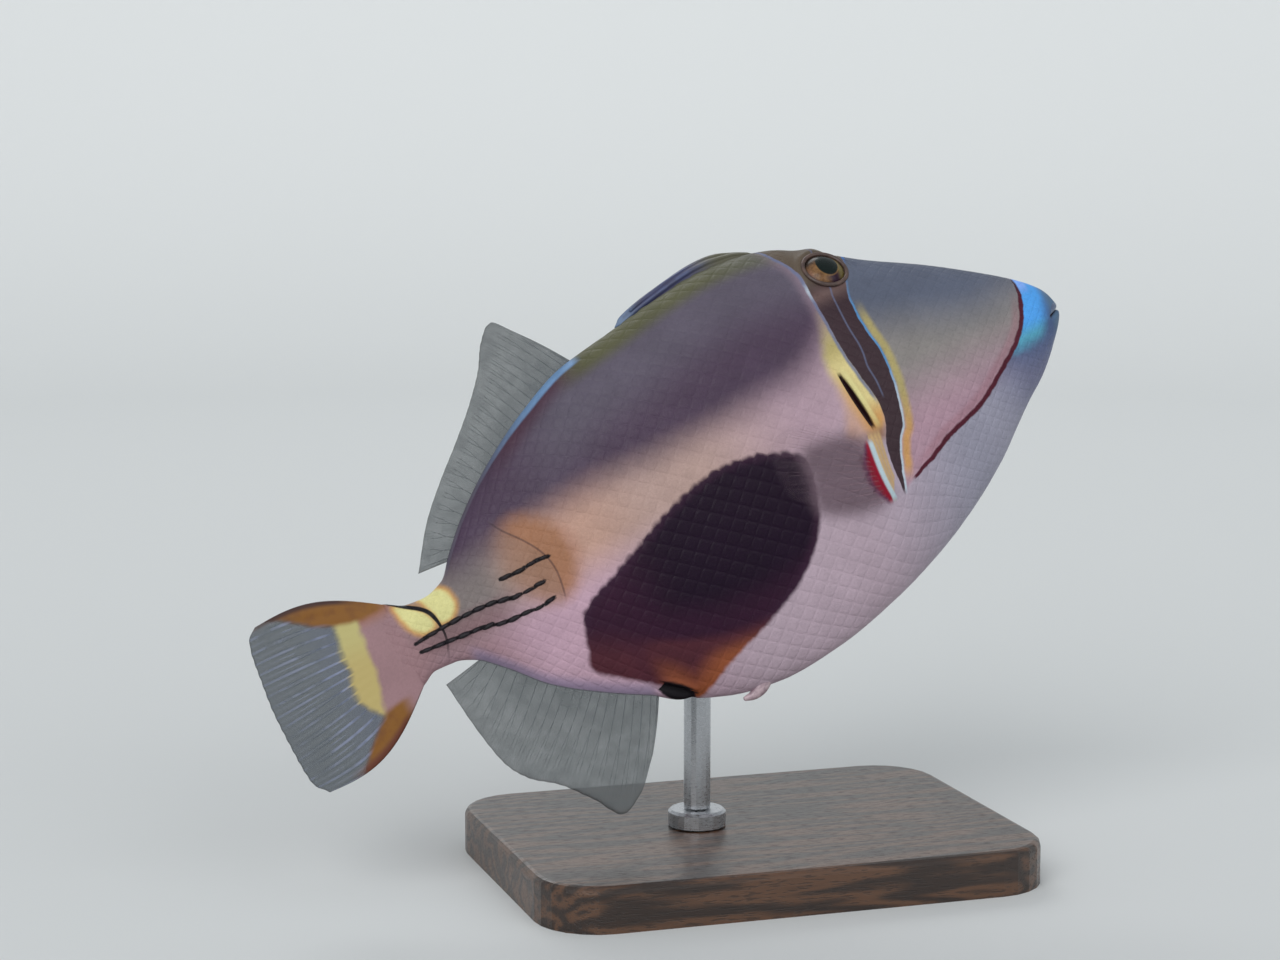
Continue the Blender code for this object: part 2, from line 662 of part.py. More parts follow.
def make_pectoral_fins(fish, material):
    """Paired fins that leave the flank behind the gill slit and lie back along it, a little way off."""
    for name, side in (("pectoral_fin_left", 1), ("pectoral_fin_right", -1)):
        rows = [[] for _ in range(len(PECTORAL_LEVELS) + 1)]
        halves = [[] for _ in rows]
        for share, ray in ray_shares(PECTORAL_RAYS):
            (top_station, top_height), (low_station, low_height) = PECTORAL_ROOT
            root_station = top_station + (low_station - top_station) * share
            root_height = top_height + (low_height - top_height) * share
            tip_station, tip_height = tip_at(PECTORAL_TIPS, share)
            rows[0].append(flank_point(root_station, root_height, side, -EMBED)[0])
            halves[0].append(thickness(ray, 0, PECTORAL_ROOT_HALF))
            for i, (t, out) in enumerate(zip(PECTORAL_LEVELS, PECTORAL_OFF_FLANK)):
                station = root_station + (tip_station - root_station) * t
                height = root_height + (tip_height - root_height) * t
                rows[i + 1].append(flank_point(station, height, side, out)[0])
                halves[i + 1].append(thickness(ray, t, PECTORAL_ROOT_HALF))
        fin = new_object(name, sheet(rows, halves), material, fish)
        apply_boolean(fin, [tool("body", body_bmesh(GAP), fish)], "DIFFERENCE")


def make_pelvic_spine(fish, material):
    """Short rough spine at the end of the pelvis, pointing back along the belly's edge."""
    path = []
    for step, sunk, _ in PELVIC_SPINE:
        station = PELVIC_STATION + step
        path.append(Vector((-station, 0, along(BELLY, station) + sunk)))
    radii = [p[2] for p in PELVIC_SPINE]
    spine = new_object("pelvic_spine", tapered_rod(path, radii, 8), material, fish)
    apply_boolean(spine, [tool("body", body_bmesh(GAP), fish)], "DIFFERENCE")


def make_stand(fish, wood, steel):
    """Base with rounded corners and an upright rod that meets the belly."""
    bm = bmesh.new()
    bmesh.ops.create_cube(bm, size=1.0)
    bmesh.ops.scale(bm, vec=(BASE_LENGTH, BASE_WIDTH, BASE_HEIGHT), verts=bm.verts)
    bmesh.ops.translate(bm, vec=(0, 0, BASE_HEIGHT / 2), verts=bm.verts)
    upright = [e for e in bm.edges if abs(e.verts[0].co.z - e.verts[1].co.z) > 1]
    bmesh.ops.bevel(bm, geom=upright, offset=BASE_CORNER, segments=6, profile=0.5, affect="EDGES")
    top = [e for e in bm.edges if all(v.co.z > BASE_HEIGHT - 0.01 for v in e.verts)]
    bmesh.ops.bevel(bm, geom=top, offset=BASE_BEVEL, segments=3, profile=0.5, affect="EDGES")
    new_object("stand_base", bm, wood, None)

    foot = fish.matrix_world @ (Vector((-ROD_STATION, 0, 0)) * MM)
    foot_xy = Vector((foot.x, foot.y, 0)) / MM
    levels = (GAP, COLLAR_HEIGHT - COLLAR_CHAMFER, COLLAR_HEIGHT)
    collar = [foot_xy + Vector((0, 0, BASE_HEIGHT + h)) for h in levels]
    ring = tapered_rod(collar, (COLLAR_RADIUS, COLLAR_RADIUS, COLLAR_RADIUS - COLLAR_CHAMFER), 24)
    new_object("stand_collar", ring, steel, None)
    rod = [foot_xy + Vector((0, 0, h)) for h in (BASE_HEIGHT + COLLAR_HEIGHT + GAP, PIVOT_HEIGHT)]
    rod_object = new_object("stand_rod", tapered_rod(rod, (ROD_RADIUS, ROD_RADIUS), 16), steel, None)
    apply_boolean(rod_object, [tool("body", body_bmesh(GAP), fish)], "DIFFERENCE")


def make_fish_pose():
    """Empty that carries the fish: it sets the pitch and bank, with the pivot station over the base."""
    fish = bpy.data.objects.new("fish_pose", None)
    bpy.context.scene.collection.objects.link(fish)
    turn = Euler((math.radians(BANK_DEG), math.radians(-PITCH_DEG), 0.0), "XYZ")
    pivot = turn.to_matrix() @ Vector((-PIVOT_STATION, 0, 0))
    fish.rotation_euler = turn
    fish.location = (Vector((0, 0, PIVOT_HEIGHT)) - pivot) * MM
    bpy.context.view_layer.update()
    return fish


def main():
    clear_scene()
    fish = make_fish_pose()
    back_skin = make_material("back_skin", GREY_MAUVE)
    belly_skin = make_material("belly_skin", PALE_LILAC)
    fin_web = make_material("fin_web", FIN_GREY, 0.35)
    lips = make_material("lips", LIP_BLUE)
    spines = make_material("spines", SPINE_BLUE)
    eyes = make_material("eyes", EYE_BROWN, 0.1)
    make_head(fish, belly_skin)
    make_eyes(fish, eyes)
    make_jaws(fish, lips)
    make_trunk(fish, back_skin)
    make_tail_stalk(fish, back_skin)
    make_first_dorsal(fish, spines)
    make_median_fin("dorsal_fin", fish, fin_web, DORSAL_ROOT, BACK, DORSAL_TIPS, DORSAL_RAYS)
    make_median_fin("anal_fin", fish, fin_web, ANAL_ROOT, BELLY, ANAL_TIPS, ANAL_RAYS)
    make_tail_fin(fish, fin_web)
    make_pectoral_fins(fish, fin_web)
    make_pelvic_spine(fish, belly_skin)
    wood = make_material("stand_wood", STAND_WOOD, 0.4)
    steel = make_material("stand_steel", STAND_STEEL, 0.3, 1.0)
    make_stand(fish, wood, steel)


main()
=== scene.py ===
"""Looks of a life-size blackbelly triggerfish on its display stand.

The fish is built in its own frame, in millimetres: a station is the distance behind the snout, y points
to its left and z to its back, and x = -station. FishPose carries it into the world, in metres.
Markings are signed distances in that frame, kept as attributes on the skin and the scales alike.
"""

import functools
import logging
import math
from dataclasses import dataclass
from enum import Enum
from typing import Sequence

import bmesh
import bpy
import numpy as np
from mathutils import Euler, Matrix, Vector


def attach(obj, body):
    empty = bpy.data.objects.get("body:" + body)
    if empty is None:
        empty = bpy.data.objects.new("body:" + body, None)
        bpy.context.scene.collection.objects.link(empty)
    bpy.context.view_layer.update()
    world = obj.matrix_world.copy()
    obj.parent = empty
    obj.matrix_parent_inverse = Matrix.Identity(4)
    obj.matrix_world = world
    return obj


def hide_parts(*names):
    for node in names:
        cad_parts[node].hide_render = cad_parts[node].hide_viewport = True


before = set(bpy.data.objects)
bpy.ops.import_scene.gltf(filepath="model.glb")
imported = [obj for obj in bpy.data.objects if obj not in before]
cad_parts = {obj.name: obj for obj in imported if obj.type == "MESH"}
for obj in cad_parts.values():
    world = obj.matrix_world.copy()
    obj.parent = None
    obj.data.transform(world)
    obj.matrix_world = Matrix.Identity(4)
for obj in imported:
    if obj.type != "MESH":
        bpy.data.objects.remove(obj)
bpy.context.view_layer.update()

LOG = logging.getLogger("triggerfish")
MM = 0.001
SEAM_GAP = 0.0004

Pair = tuple[float, float]
Tone = tuple[int, int, int]
Array = np.ndarray
Socket = bpy.types.NodeSocket
BMesh = bmesh.types.BMesh


class Side(Enum):
    """A flank of the fish, by the sign of its y."""

    LEFT = 1
    RIGHT = -1


class Slot(Enum):
    """Material slots of the record that the fish's pieces belong to."""

    SKIN = "skin"
    LIPS = "lips"
    EYE = "eye"
    SPINES = "dark_spines"
    FIN = "fin"


def linear(red: int, green: int, blue: int) -> tuple[float, float, float, float]:
    """Shader colour of a display colour given in steps of 0 to 255."""
    parts = [c / 255 for c in (red, green, blue)]
    bent = [c / 12.92 if c <= 0.04045 else ((c + 0.055) / 1.055) ** 2.4 for c in parts]
    return (*bent, 1.0)


def ease(value: Array, low: float, high: float) -> Array:
    """Smooth rise from 0 at low to 1 at high."""
    t = np.clip((value - low) / (high - low), 0.0, 1.0)
    return t * t * (3 - 2 * t)


class Profile:
    """Smooth curve through (x, value) points that never overshoots them."""

    def __init__(self, points: Sequence[Pair]) -> None:
        """Works out the slope at each point.

        Args:
            points: the curve's points, in rising x.
        """
        self.x = np.array([p[0] for p in points], float)
        self.y = np.array([p[1] for p in points], float)
        step = np.diff(self.x)
        slope = np.diff(self.y) / step
        self.tangent = np.zeros(len(self.x))
        self.tangent[0], self.tangent[-1] = slope[0], slope[-1]
        for k in range(1, len(self.x) - 1):
            before, after = slope[k - 1], slope[k]
            if before * after > 0:
                first = 2 * step[k] + step[k - 1]
                second = step[k] + 2 * step[k - 1]
                self.tangent[k] = (first + second) / (first / before + second / after)

    def __call__(self, x: Array | float) -> Array:
        """Value of the curve at x."""
        x = np.clip(np.asarray(x, float), self.x[0], self.x[-1])
        k = np.clip(np.searchsorted(self.x, x, side="right") - 1, 0, len(self.x) - 2)
        step = self.x[k + 1] - self.x[k]
        t = (x - self.x[k]) / step
        start = (2 * t**3 - 3 * t**2 + 1) * self.y[k] + (t**3 - 2 * t**2 + t) * step * self.tangent[k]
        end = (3 * t**2 - 2 * t**3) * self.y[k + 1] + (t**3 - t**2) * step * self.tangent[k + 1]
        return start + end


def curves(rows: Sequence[Sequence[float]]) -> list[Profile]:
    """Curves through each further column of a table, over its first one."""
    return [Profile([(row[0], row[k]) for row in rows]) for k in range(1, len(rows[0]))]


@dataclass(frozen=True)
class FishPose:
    """Place of the fish over its stand."""

    pitch_deg: float = 23.0
    bank_deg: float = -20.0
    pivot_station: float = 83.0
    pivot_height: float = 88.0

    def matrix(self) -> Matrix:
        """World matrix that carries millimetres of the fish frame into metres."""
        turn = Euler((math.radians(self.bank_deg), math.radians(-self.pitch_deg), 0.0), "XYZ").to_matrix()
        pivot = turn @ Vector((-self.pivot_station, 0, 0))
        place = (Vector((0, 0, self.pivot_height)) - pivot) * MM
        return Matrix.Translation(place) @ turn.to_4x4() @ Matrix.Scale(MM, 4)


class BodyShape:
    """The body's surface: a ring of points at each station, from the back round to the belly."""

    END = 172.0
    BACK = Profile(((0, 6.2), (1, 9), (3, 11.5), (7, 15), (14, 20), (24, 26.5), (36, 33.3), (46, 39.8),
        (56, 44.8), (64, 46.4), (72, 46.8), (84, 45.5), (96, 43.2), (110, 40.6), (122, 35.5), (134, 28.5),
        (145, 20), (151, 14), (155, 9.6), (160, 8.1), (164, 8.4), (168, 10.5), (END, 12.2)))
    BELLY = Profile(((0, 2.4), (1, 0.8), (4, -2.6), (10, -8.2), (17, -13), (29, -22), (40, -28.5),
        (52, -34), (66, -38.7), (82, -42.2), (94, -43.2), (104, -42.2), (113, -39.5), (124, -33.7),
        (134, -28), (144, -21), (151, -13.5), (156, -9.1), (160, -7.6), (164.5, -7.4), (168, -9.0),
        (END, -11.2)))
    HALF_WIDTH = Profile(((0, 2.5), (1, 4), (4, 6.2), (12, 8.8), (24, 11.2), (38, 13.6), (50, 15.6),
        (62, 16.6), (76, 16.4), (92, 15), (106, 12.8), (120, 10.2), (134, 7.6), (146, 5.2), (154, 4.2),
        (160, 3.8), (166, 2.6), (END, 1.4)))
    WIDEST = Profile(((0, 3.8), (20, 4), (45, 5), (70, 6), (100, 4), (130, 2), (END, 1)))
    UPPER_FULLNESS = 0.95
    LOWER_FULLNESS = 1.15
    NUDGE = 0.02

    def ring(self, station: Array, angle: Array) -> Array:
        """Points of the bare surface.

        Args:
            station: distances behind the snout.
            angle: 0 at the back, a quarter turn at the left side.

        Returns:
            Points of the fish frame, one row each.
        """
        middle = self.WIDEST(station)
        upper = np.cos(angle) >= 0
        reach = np.where(upper, self.BACK(station) - middle, middle - self.BELLY(station))
        fullness = np.where(upper, self.UPPER_FULLNESS, self.LOWER_FULLNESS)
        sine = np.sin(angle)
        side = np.sign(sine) * np.abs(sine) ** fullness
        return np.stack([-station, self.HALF_WIDTH(station) * side, middle + reach * np.cos(angle)], -1)

    def normal(self, station: Array, angle: Array) -> Array:
        """Outward unit normals of the surface."""
        low = np.maximum(station - 0.3, 0.0)
        high = np.minimum(station + 0.3, self.END)
        back = self.ring(high, angle) - self.ring(low, angle)
        turn = self.ring(station, angle + self.NUDGE) - self.ring(station, angle - self.NUDGE)
        normal = np.cross(turn, back)
        length = np.linalg.norm(normal, axis=-1, keepdims=True)
        return normal / np.maximum(length, 1e-9)

    def surface(self, station: Array, angle: Array, out: Array | float = 0.0) -> Array:
        """Points moved out from the surface along its normal."""
        return self.ring(station, angle) + self.normal(station, angle) * np.asarray(out)[..., None]

    def angle_at(self, station: Array, height: Array, side: int) -> Array:
        """Angle of the flank's point at a height, on one side."""
        middle = self.WIDEST(station)
        reach = np.where(height >= middle, self.BACK(station) - middle, middle - self.BELLY(station))
        return side * np.arccos(np.clip((height - middle) / reach, -1.0, 1.0))

    def flank(self, station: Array, height: Array, side: int, out: Array | float = 0.0) -> Array:
        """Points of a flank at stations and heights, moved out along the normal."""
        station, height = np.broadcast_arrays(np.asarray(station, float), np.asarray(height, float))
        return self.surface(station, self.angle_at(station, height, side), out)


class GirthTable:
    """Angles of the flank's points by their arc length from the level where the body is widest."""

    STATION_STEP = 0.5
    ARC_STEP = 0.25
    ARC_REACH = 70.0

    def __init__(self, shape: BodyShape) -> None:
        """Measures the rings of one flank.

        Args:
            shape: the body to measure.
        """
        self.stations = np.arange(0.0, shape.END + 0.01, self.STATION_STEP)
        self.arcs = np.arange(-self.ARC_REACH, self.ARC_REACH + 0.01, self.ARC_STEP)
        angle = np.linspace(0.0, math.pi, 241)
        grid_s, grid_a = np.meshgrid(self.stations, angle, indexing="ij")
        points = shape.ring(grid_s, grid_a)
        steps = np.linalg.norm(np.diff(points, axis=1), axis=-1)
        length = np.concatenate([np.zeros((len(self.stations), 1)), np.cumsum(steps, axis=1)], axis=1)
        level = length[:, [120]]
        arc = level - length
        self.top = arc[:, 0]
        self.bottom = arc[:, -1]
        rows = [np.interp(self.arcs, a[::-1], angle[::-1]) for a in arc]
        self.angle = np.array(rows)

    def limits(self, station: Array) -> tuple[Array, Array]:
        """Arc lengths of the belly's edge and of the back at a station."""
        return np.interp(station, self.stations, self.bottom), np.interp(station, self.stations, self.top)

    def angle_at(self, station: Array, arc: Array) -> Array:
        """Angle of the left flank's point at a station and arc length."""
        column = np.clip((station - self.stations[0]) / self.STATION_STEP, 0, len(self.stations) - 1.001)
        row = np.clip((arc + self.ARC_REACH) / self.ARC_STEP, 0, len(self.arcs) - 1.001)
        i, j = column.astype(int), row.astype(int)
        u, v = column - i, row - j
        near = self.angle[i, j] * (1 - v) + self.angle[i, j + 1] * v
        far = self.angle[i + 1, j] * (1 - v) + self.angle[i + 1, j + 1] * v
        return near * (1 - u) + far * u


def smooth_path(points: Sequence[Pair], closed: bool, per_span: int = 6) -> Array:
    """Rounds off a given path with a Catmull-Rom curve through its points.

    Args:
        points: the path's points.
        closed: whether its end joins its start.
        per_span: steps from one point to the next.

    Returns:
        The curve's points, one row each.
    """
    p = np.array(points, float)
    if closed:
        p = np.concatenate([p[-1:], p, p[:2]])
    else:
        p = np.concatenate([2 * p[:1] - p[1:2], p, 2 * p[-1:] - p[-2:-1]])
    t = np.linspace(0, 1, per_span, endpoint=False)[:, None]
    spans = []
    for a, b, c, d in zip(p, p[1:], p[2:], p[3:]):
        spans.append(0.5 * (2 * b + (c - a) * t + (2 * a - 5 * b + 4 * c - d) * t**2
                            + (3 * b - a - 3 * c + d) * t**3))
    spans.append(p[-2:-1])
    return np.concatenate(spans)


class Line:
    """Open marking line in the side view, run on straight past both ends."""

    RUN_ON = 60.0
    CHUNK = 20000

    def __init__(self, *points: Pair) -> None:
        """Smooths the line through its (station, height) points."""
        path = smooth_path(points, closed=False)
        first = path[0] + (path[0] - path[1]) / np.linalg.norm(path[0] - path[1]) * self.RUN_ON
        last = path[-1] + (path[-1] - path[-2]) / np.linalg.norm(path[-1] - path[-2]) * self.RUN_ON
        self.path = np.concatenate([[first], path, [last]])
        step = np.diff(self.path, axis=0)
        self.length = np.linalg.norm(step, axis=1)
        self.along = np.concatenate([[0.0], np.cumsum(self.length)]) - self.RUN_ON
        self.step = step

    def measure(self, station: Array, height: Array) -> tuple[Array, Array]:
        """Place of points beside the line.

        Args:
            station: the points' stations.
            height: the points' heights.

        Returns:
            Distance across, positive to the right of travel, and distance along from the first point.
        """
        across, along = np.empty(len(station)), np.empty(len(station))
        for start in range(0, len(station), self.CHUNK):
            part = slice(start, start + self.CHUNK)
            p = np.stack([station[part], height[part]], -1)[:, None, :]
            offset = p - self.path[:-1]
            t = np.clip((offset * self.step).sum(-1) / self.length**2, 0, 1)
            gap = offset - t[..., None] * self.step
            distance = np.linalg.norm(gap, axis=-1)
            best = distance.argmin(1)
            rows = np.arange(len(best))
            step = self.step[best]
            near = offset[rows, best]
            sign = np.sign(step[:, 1] * near[:, 0] - step[:, 0] * near[:, 1])
            across[part] = distance[rows, best] * np.where(sign == 0, 1, sign)
            along[part] = self.along[best] + t[rows, best] * self.length[best]
        return across, along


class Patch:
    """Closed marking in the side view."""

    CHUNK = 20000

    def __init__(self, *points: Pair) -> None:
        """Smooths the outline through its (station, height) points."""
        self.path = smooth_path(points, closed=True, per_span=4)

    def inside(self, station: Array, height: Array) -> Array:
        """Distance of points from the outline.

        Args:
            station: the points' stations.
            height: the points' heights.

        Returns:
            The distances, positive inside it.
        """
        result = np.empty(len(station))
        start_points = self.path[:-1]
        step = np.diff(self.path, axis=0)
        squared = (step**2).sum(1)
        for start in range(0, len(station), self.CHUNK):
            part = slice(start, start + self.CHUNK)
            x, y = station[part][:, None], height[part][:, None]
            offset = np.stack([x - start_points[:, 0], y - start_points[:, 1]], -1)
            t = np.clip((offset * step).sum(-1) / squared, 0, 1)
            distance = np.linalg.norm(offset - t[..., None] * step, axis=-1).min(1)
            crosses = (start_points[:, 1] > y) != (start_points[:, 1] + step[:, 1] > y)
            slope = np.divide(step[:, 0], step[:, 1], out=np.zeros(len(step)), where=step[:, 1] != 0)
            left = x < start_points[:, 0] + (y - start_points[:, 1]) * slope
            odd = (crosses & left).sum(1) % 2 == 1
            result[part] = np.where(odd, distance, -distance)
        return result


class Markings:
    """Every marking of the fish, as curves in the side view of the fish frame."""

    FLANK_EDGE = Line((160, 10), (152, 11), (139.5, 12.5), (127, 13.8), (114.5, 14.2), (102, 13.6),
        (89.5, 13.8), (77, 14.6), (68, 15.6), (62, 17.6), (57, 21), (50, 26))
    SNOUT_EDGE = Line((52, 20), (44, 18.4), (36, 16.2), (28, 13.6), (20, 12.0), (12, 12.6), (4, 13.4))
    BAND_FRONT = Line((39.4, 38.4), (41.2, 35.6), (44.0, 31.6), (46.3, 27.2), (47.4, 22.3), (47.5, 17),
        (47.0, 12), (47.2, 8), (48.0, 3), (49.3, -2.2), (50.3, -5.2), (52.0, -7.2), (53.6, -10.2),
        (55.1, -15), (56.0, -18.4))
    BAND_REAR = Line((58.2, 46.5), (56.4, 41.5), (54.6, 37.8), (54.0, 34), (54.3, 30), (54.6, 24),
        (54.8, 18), (54.7, 13), (54.2, 9), (53.6, 5), (53.2, 2), (53.4, -1.5), (54.5, -4.8), (55.9, -7.8),
        (56.4, -11), (56.5, -15), (56.5, -18.6))
    BAND_MIDDLE = Line((47.4, 43.5), (48.0, 39), (49.2, 31), (50.1, 27), (50.8, 20), (50.7, 15),
        (50.9, 12.5), (51.5, 9.4), (51.3, 6), (51.6, 1.5))
    CHEEK_LINE = Line((7.6, 14.2), (8.6, 10.4), (10.4, 6.9), (12.6, 3.4), (15.1, 0.9), (18.8, -1.8),
        (22.6, -4.1), (27.6, -7.2), (32.6, -9.4), (37.6, -10.9), (41.3, -11.9), (45.1, -13.8),
        (48.8, -15.3), (51.9, -16.4), (54.1, -17.4))
    BELLY_PATCH = Patch((130.3, -10), (122, -6.3), (114.5, -3.1), (107, 0.3), (99.5, 2.6), (92, 3.9),
        (84.5, 3.1), (78.3, 1), (74.6, -1.4), (73.5, -5), (75, -11.3), (77, -16.3), (80.8, -21.3),
        (85.8, -25.6), (92, -28.9), (99.5, -31.9), (107, -34.4), (112.5, -37.4), (116.5, -38.2), (120, -35),
        (122.2, -32.6), (127, -28.8), (132, -25.2), (134.6, -22.3), (134, -18.8), (132.6, -13.8))
    TAN_BLOTCH = Patch((142, 8), (140.5, 12.5), (136.5, 14.6), (132, 12.6), (128.6, 9), (127, 5),
        (127.2, 1), (129.5, -3.4), (133, -6), (137.5, -4.8), (141, -1), (142.6, 4))
    SCALE_ARC = Line((140.5, 16), (139, 13.2), (136.6, 10), (134.4, 6.6), (133, 3.2), (132.6, -0.5),
        (133.1, -4.5), (133.6, -6.8))
    GILL_ZONE = Patch((55.2, 25), (57.2, 20.5), (59.2, 16.2), (60.2, 12.6), (60.3, 8), (60.9, 3),
        (62.4, -0.4), (63.4, -3.2), (61.4, -5.5), (58.5, -6.1), (55.4, -6.0), (53.6, -3), (52.6, 1),
        (53.2, 6), (54.1, 12), (54.4, 19))
    GILL_SLIT = Line((58.3, 10.8), (58.1, 8.8), (57.7, 4.6), (57.2, 0.4), (56.7, -3.6))
    PECTORAL_BASE = Line((59.4, -5.2), (59.9, -8.4), (60.3, -12), (60.3, -15.6), (59.8, -19.2))
    # Where the clear pectoral fin lies over the flank: partly its tint, partly its painted shadow.
    DUSK = Patch((62, -3), (68, -1), (74, -1.5), (75, -8), (76, -14), (70, -17.6), (63, -19), (60.4, -17),
        (60.2, -9))
    STALK_LINE = Line((168.9, 12.1), (168.0, 11.0), (167.1, 10.1), (164.6, 8.0), (162.1, 6.0), (160.8, 4.4),
        (160.2, 2.6), (159.9, 0.7), (159.8, -1.2), (160.1, -3.2), (160.8, -5.4))
    SADDLES = (Patch((161.6, 8.8), (158, 9.4), (155.6, 8), (154.6, 5), (155.1, 2.6), (157, 1.0),
        (159.6, 0.9), (160.2, 3), (160.9, 5.6)), Patch((161.2, 4.8), (163.4, 7.2), (165.8, 9.0),
        (167.2, 8.6), (166.9, 5.4), (166, 2.8), (164.2, 0.8), (161.2, 0.6), (160.4, 2.4)))
    VENT = Line((123.2, -31.8), (119.6, -34.7), (116.2, -37.6))
    TAIL_ARC = Line((174.0, 13), (175.0, 9.4), (175.6, 5), (176.1, 0), (177.1, -5), (178.0, -9.3),
        (178.4, -13))
    TAIL_TOP = Line((196, 20.6), (191.8, 18.2), (188.3, 16), (184.6, 13.4), (180.2, 11.2), (175.8, 10),
        (171, 9.6), (166, 10))
    TAIL_LOW = Line((170, -9.6), (177, -10.4), (180.2, -12.4), (183.3, -15.2), (186.4, -18.4), (190, -22.4))
    SPINE_ROWS = (Line((144.2, 3.9), (140, 3.6), (136, 3.9), (132.4, 3.7)), Line((166.4, -0.4),
        (158.3, 0.2), (149, 0.2), (142.7, -1.0), (139, -1.0), (135.6, -0.7)), Line((166.1, -2.5),
        (158.3, -3.2), (152, -3.7), (147, -4.9), (142, -5.1), (139, -5.4), (135.3, -4.8)))
    LINES = {"stalk_line": STALK_LINE, "tail_arc": TAIL_ARC, "tail_top": TAIL_TOP, "tail_low": TAIL_LOW,
        "flank_edge": FLANK_EDGE, "snout_edge": SNOUT_EDGE, "band_front": BAND_FRONT,
        "band_rear": BAND_REAR, "band_middle": BAND_MIDDLE, "cheek_line": CHEEK_LINE,
        "scale_arc": SCALE_ARC, "gill_slit": GILL_SLIT, "fin_base": PECTORAL_BASE, "vent": VENT}
    # Name of the distance along a line, where it is needed too.
    ALONG = {"stalk_line": "stalk_along", "band_middle": "middle_along", "cheek_line": "cheek_along",
        "scale_arc": "arc_along", "gill_slit": "slit_along", "fin_base": "base_along", "vent": "vent_along"}
    PATCHES = {"belly_patch": BELLY_PATCH, "tan_blotch": TAN_BLOTCH, "gill_zone": GILL_ZONE, "dusk": DUSK}
    STEP = 0.5
    START = (-4.0, -62.0)
    COUNT = (420, 260)

    def __init__(self, shape: BodyShape) -> None:
        """Measures every marking once, on a grid over the side view.

        Args:
            shape: the body whose edges some markings follow.
        """
        self.shape = shape
        columns = self.START[0] + self.STEP * np.arange(self.COUNT[0])
        rows = self.START[1] + self.STEP * np.arange(self.COUNT[1])
        station, height = (a.ravel() for a in np.meshgrid(columns, rows, indexing="ij"))
        found = self.measure(station, height)
        self.grids = {name: values.reshape(self.COUNT) for name, values in found.items()}

    def fields(self, station: Array, height: Array) -> dict[str, Array]:
        """Values of each marking at points of the side view.

        Args:
            station: the points' stations.
            height: the points' heights.

        Returns:
            Arrays by attribute name.
        """
        column = np.clip((station - self.START[0]) / self.STEP, 0, self.COUNT[0] - 1.001)
        row = np.clip((height - self.START[1]) / self.STEP, 0, self.COUNT[1] - 1.001)
        i, j = column.astype(int), row.astype(int)
        u, v = column - i, row - j
        found = {"station": station, "height": height}
        for name, grid in self.grids.items():
            near = grid[i, j] * (1 - v) + grid[i, j + 1] * v
            far = grid[i + 1, j] * (1 - v) + grid[i + 1, j + 1] * v
            found[name] = near * (1 - u) + far * u
        found["under_back"] = self.shape.BACK(station) - height
        found["over_belly"] = height - self.shape.BELLY(station)
        return found

    def measure(self, station: Array, height: Array) -> dict[str, Array]:
        """Signed distances to every marking.

        Args:
            station: the points' stations.
            height: the points' heights.

        Returns:
            Arrays by attribute name.
        """
        found = {name: patch.inside(station, height) for name, patch in self.PATCHES.items()}
        for name, line in self.LINES.items():
            found[name], along = line.measure(station, height)
            if name in self.ALONG:
                found[self.ALONG[name]] = along
        found["saddle"] = np.maximum(*[patch.inside(station, height) for patch in self.SADDLES])
        rows = []
        for line in self.SPINE_ROWS:
            across, along = line.measure(station, height)
            length = line.along[-1] - line.RUN_ON
            rows.append(-np.hypot(across, along - np.clip(along, 0, length)))
        found["spine_row"] = np.maximum.reduce(rows)
        return found


SHAPE = BodyShape()
GIRTH = GirthTable(SHAPE)
MARKINGS = Markings(SHAPE)
POSE = FishPose().matrix()


@dataclass(frozen=True)
class EyePlace:
    """The eyeball, its socket's ring and where they sit."""

    station: float = 47.8
    height: float = 33.8
    radius: float = 4.9
    depth: float = 3.0
    sunk: float = 1.3
    ring_radius: float = 5.0
    ring_thickness: float = 0.5

    def centre(self, side: Side) -> tuple[Vector, Vector]:
        """Middle of the eyeball and the direction that it looks in."""
        station = np.array([self.station])
        angle = SHAPE.angle_at(station, np.array([self.height]), side.value)
        normal = Vector(SHAPE.normal(station, angle)[0])
        return Vector(SHAPE.ring(station, angle)[0]) - normal * self.sunk, normal

    def frame(self, side: Side) -> Matrix:
        """Carries a form that looks up along z to the eye's place, looking out."""
        centre, normal = self.centre(side)
        return Matrix.Translation(centre) @ normal.to_track_quat("Z", "Y").to_matrix().to_4x4()


EYE = EyePlace()
SIDEWAYS = np.array([0.0, 1.0, 0.0])
DORSAL_TIPS = ((0.0, 115.2, 52.3), (0.05, 119.0, 56.4), (0.15, 122.8, 53.6), (0.3, 126.6, 47.8),
    (0.45, 131.6, 42.0), (0.6, 138.2, 35.6), (0.75, 145.3, 29.2), (0.88, 151.8, 22.6), (1.0, 158.6, 13.2))
ANAL_TIPS = ((0.0, 130.5, -44.5), (0.06, 137.0, -51.0), (0.12, 141.8, -53.2), (0.25, 146.5, -47.5),
    (0.4, 151.7, -41.3), (0.55, 157.1, -37.0), (0.7, 160.3, -32.0), (0.85, 162.4, -23.0),
    (1.0, 164.0, -11.0))
NOSTRILS = ((41.6, 34.0), (39.8, 32.6))
GILL_SLIT_LENGTH = 14.5
PECTORAL_LENGTH = 14.3
VENT_LENGTH = 9.0


def lens(along: Array, length: float) -> Array:
    """Height of a lens-shaped slit along its length, 1 at the middle and 0 at both ends."""
    t = np.clip(1 - ((along - length / 2) / (length / 2)) ** 2, 0, 1)
    return t**0.38


def mouth_height(station: Array) -> Array:
    """Height of the line between the lips."""
    return 3.8 - 0.4 * station


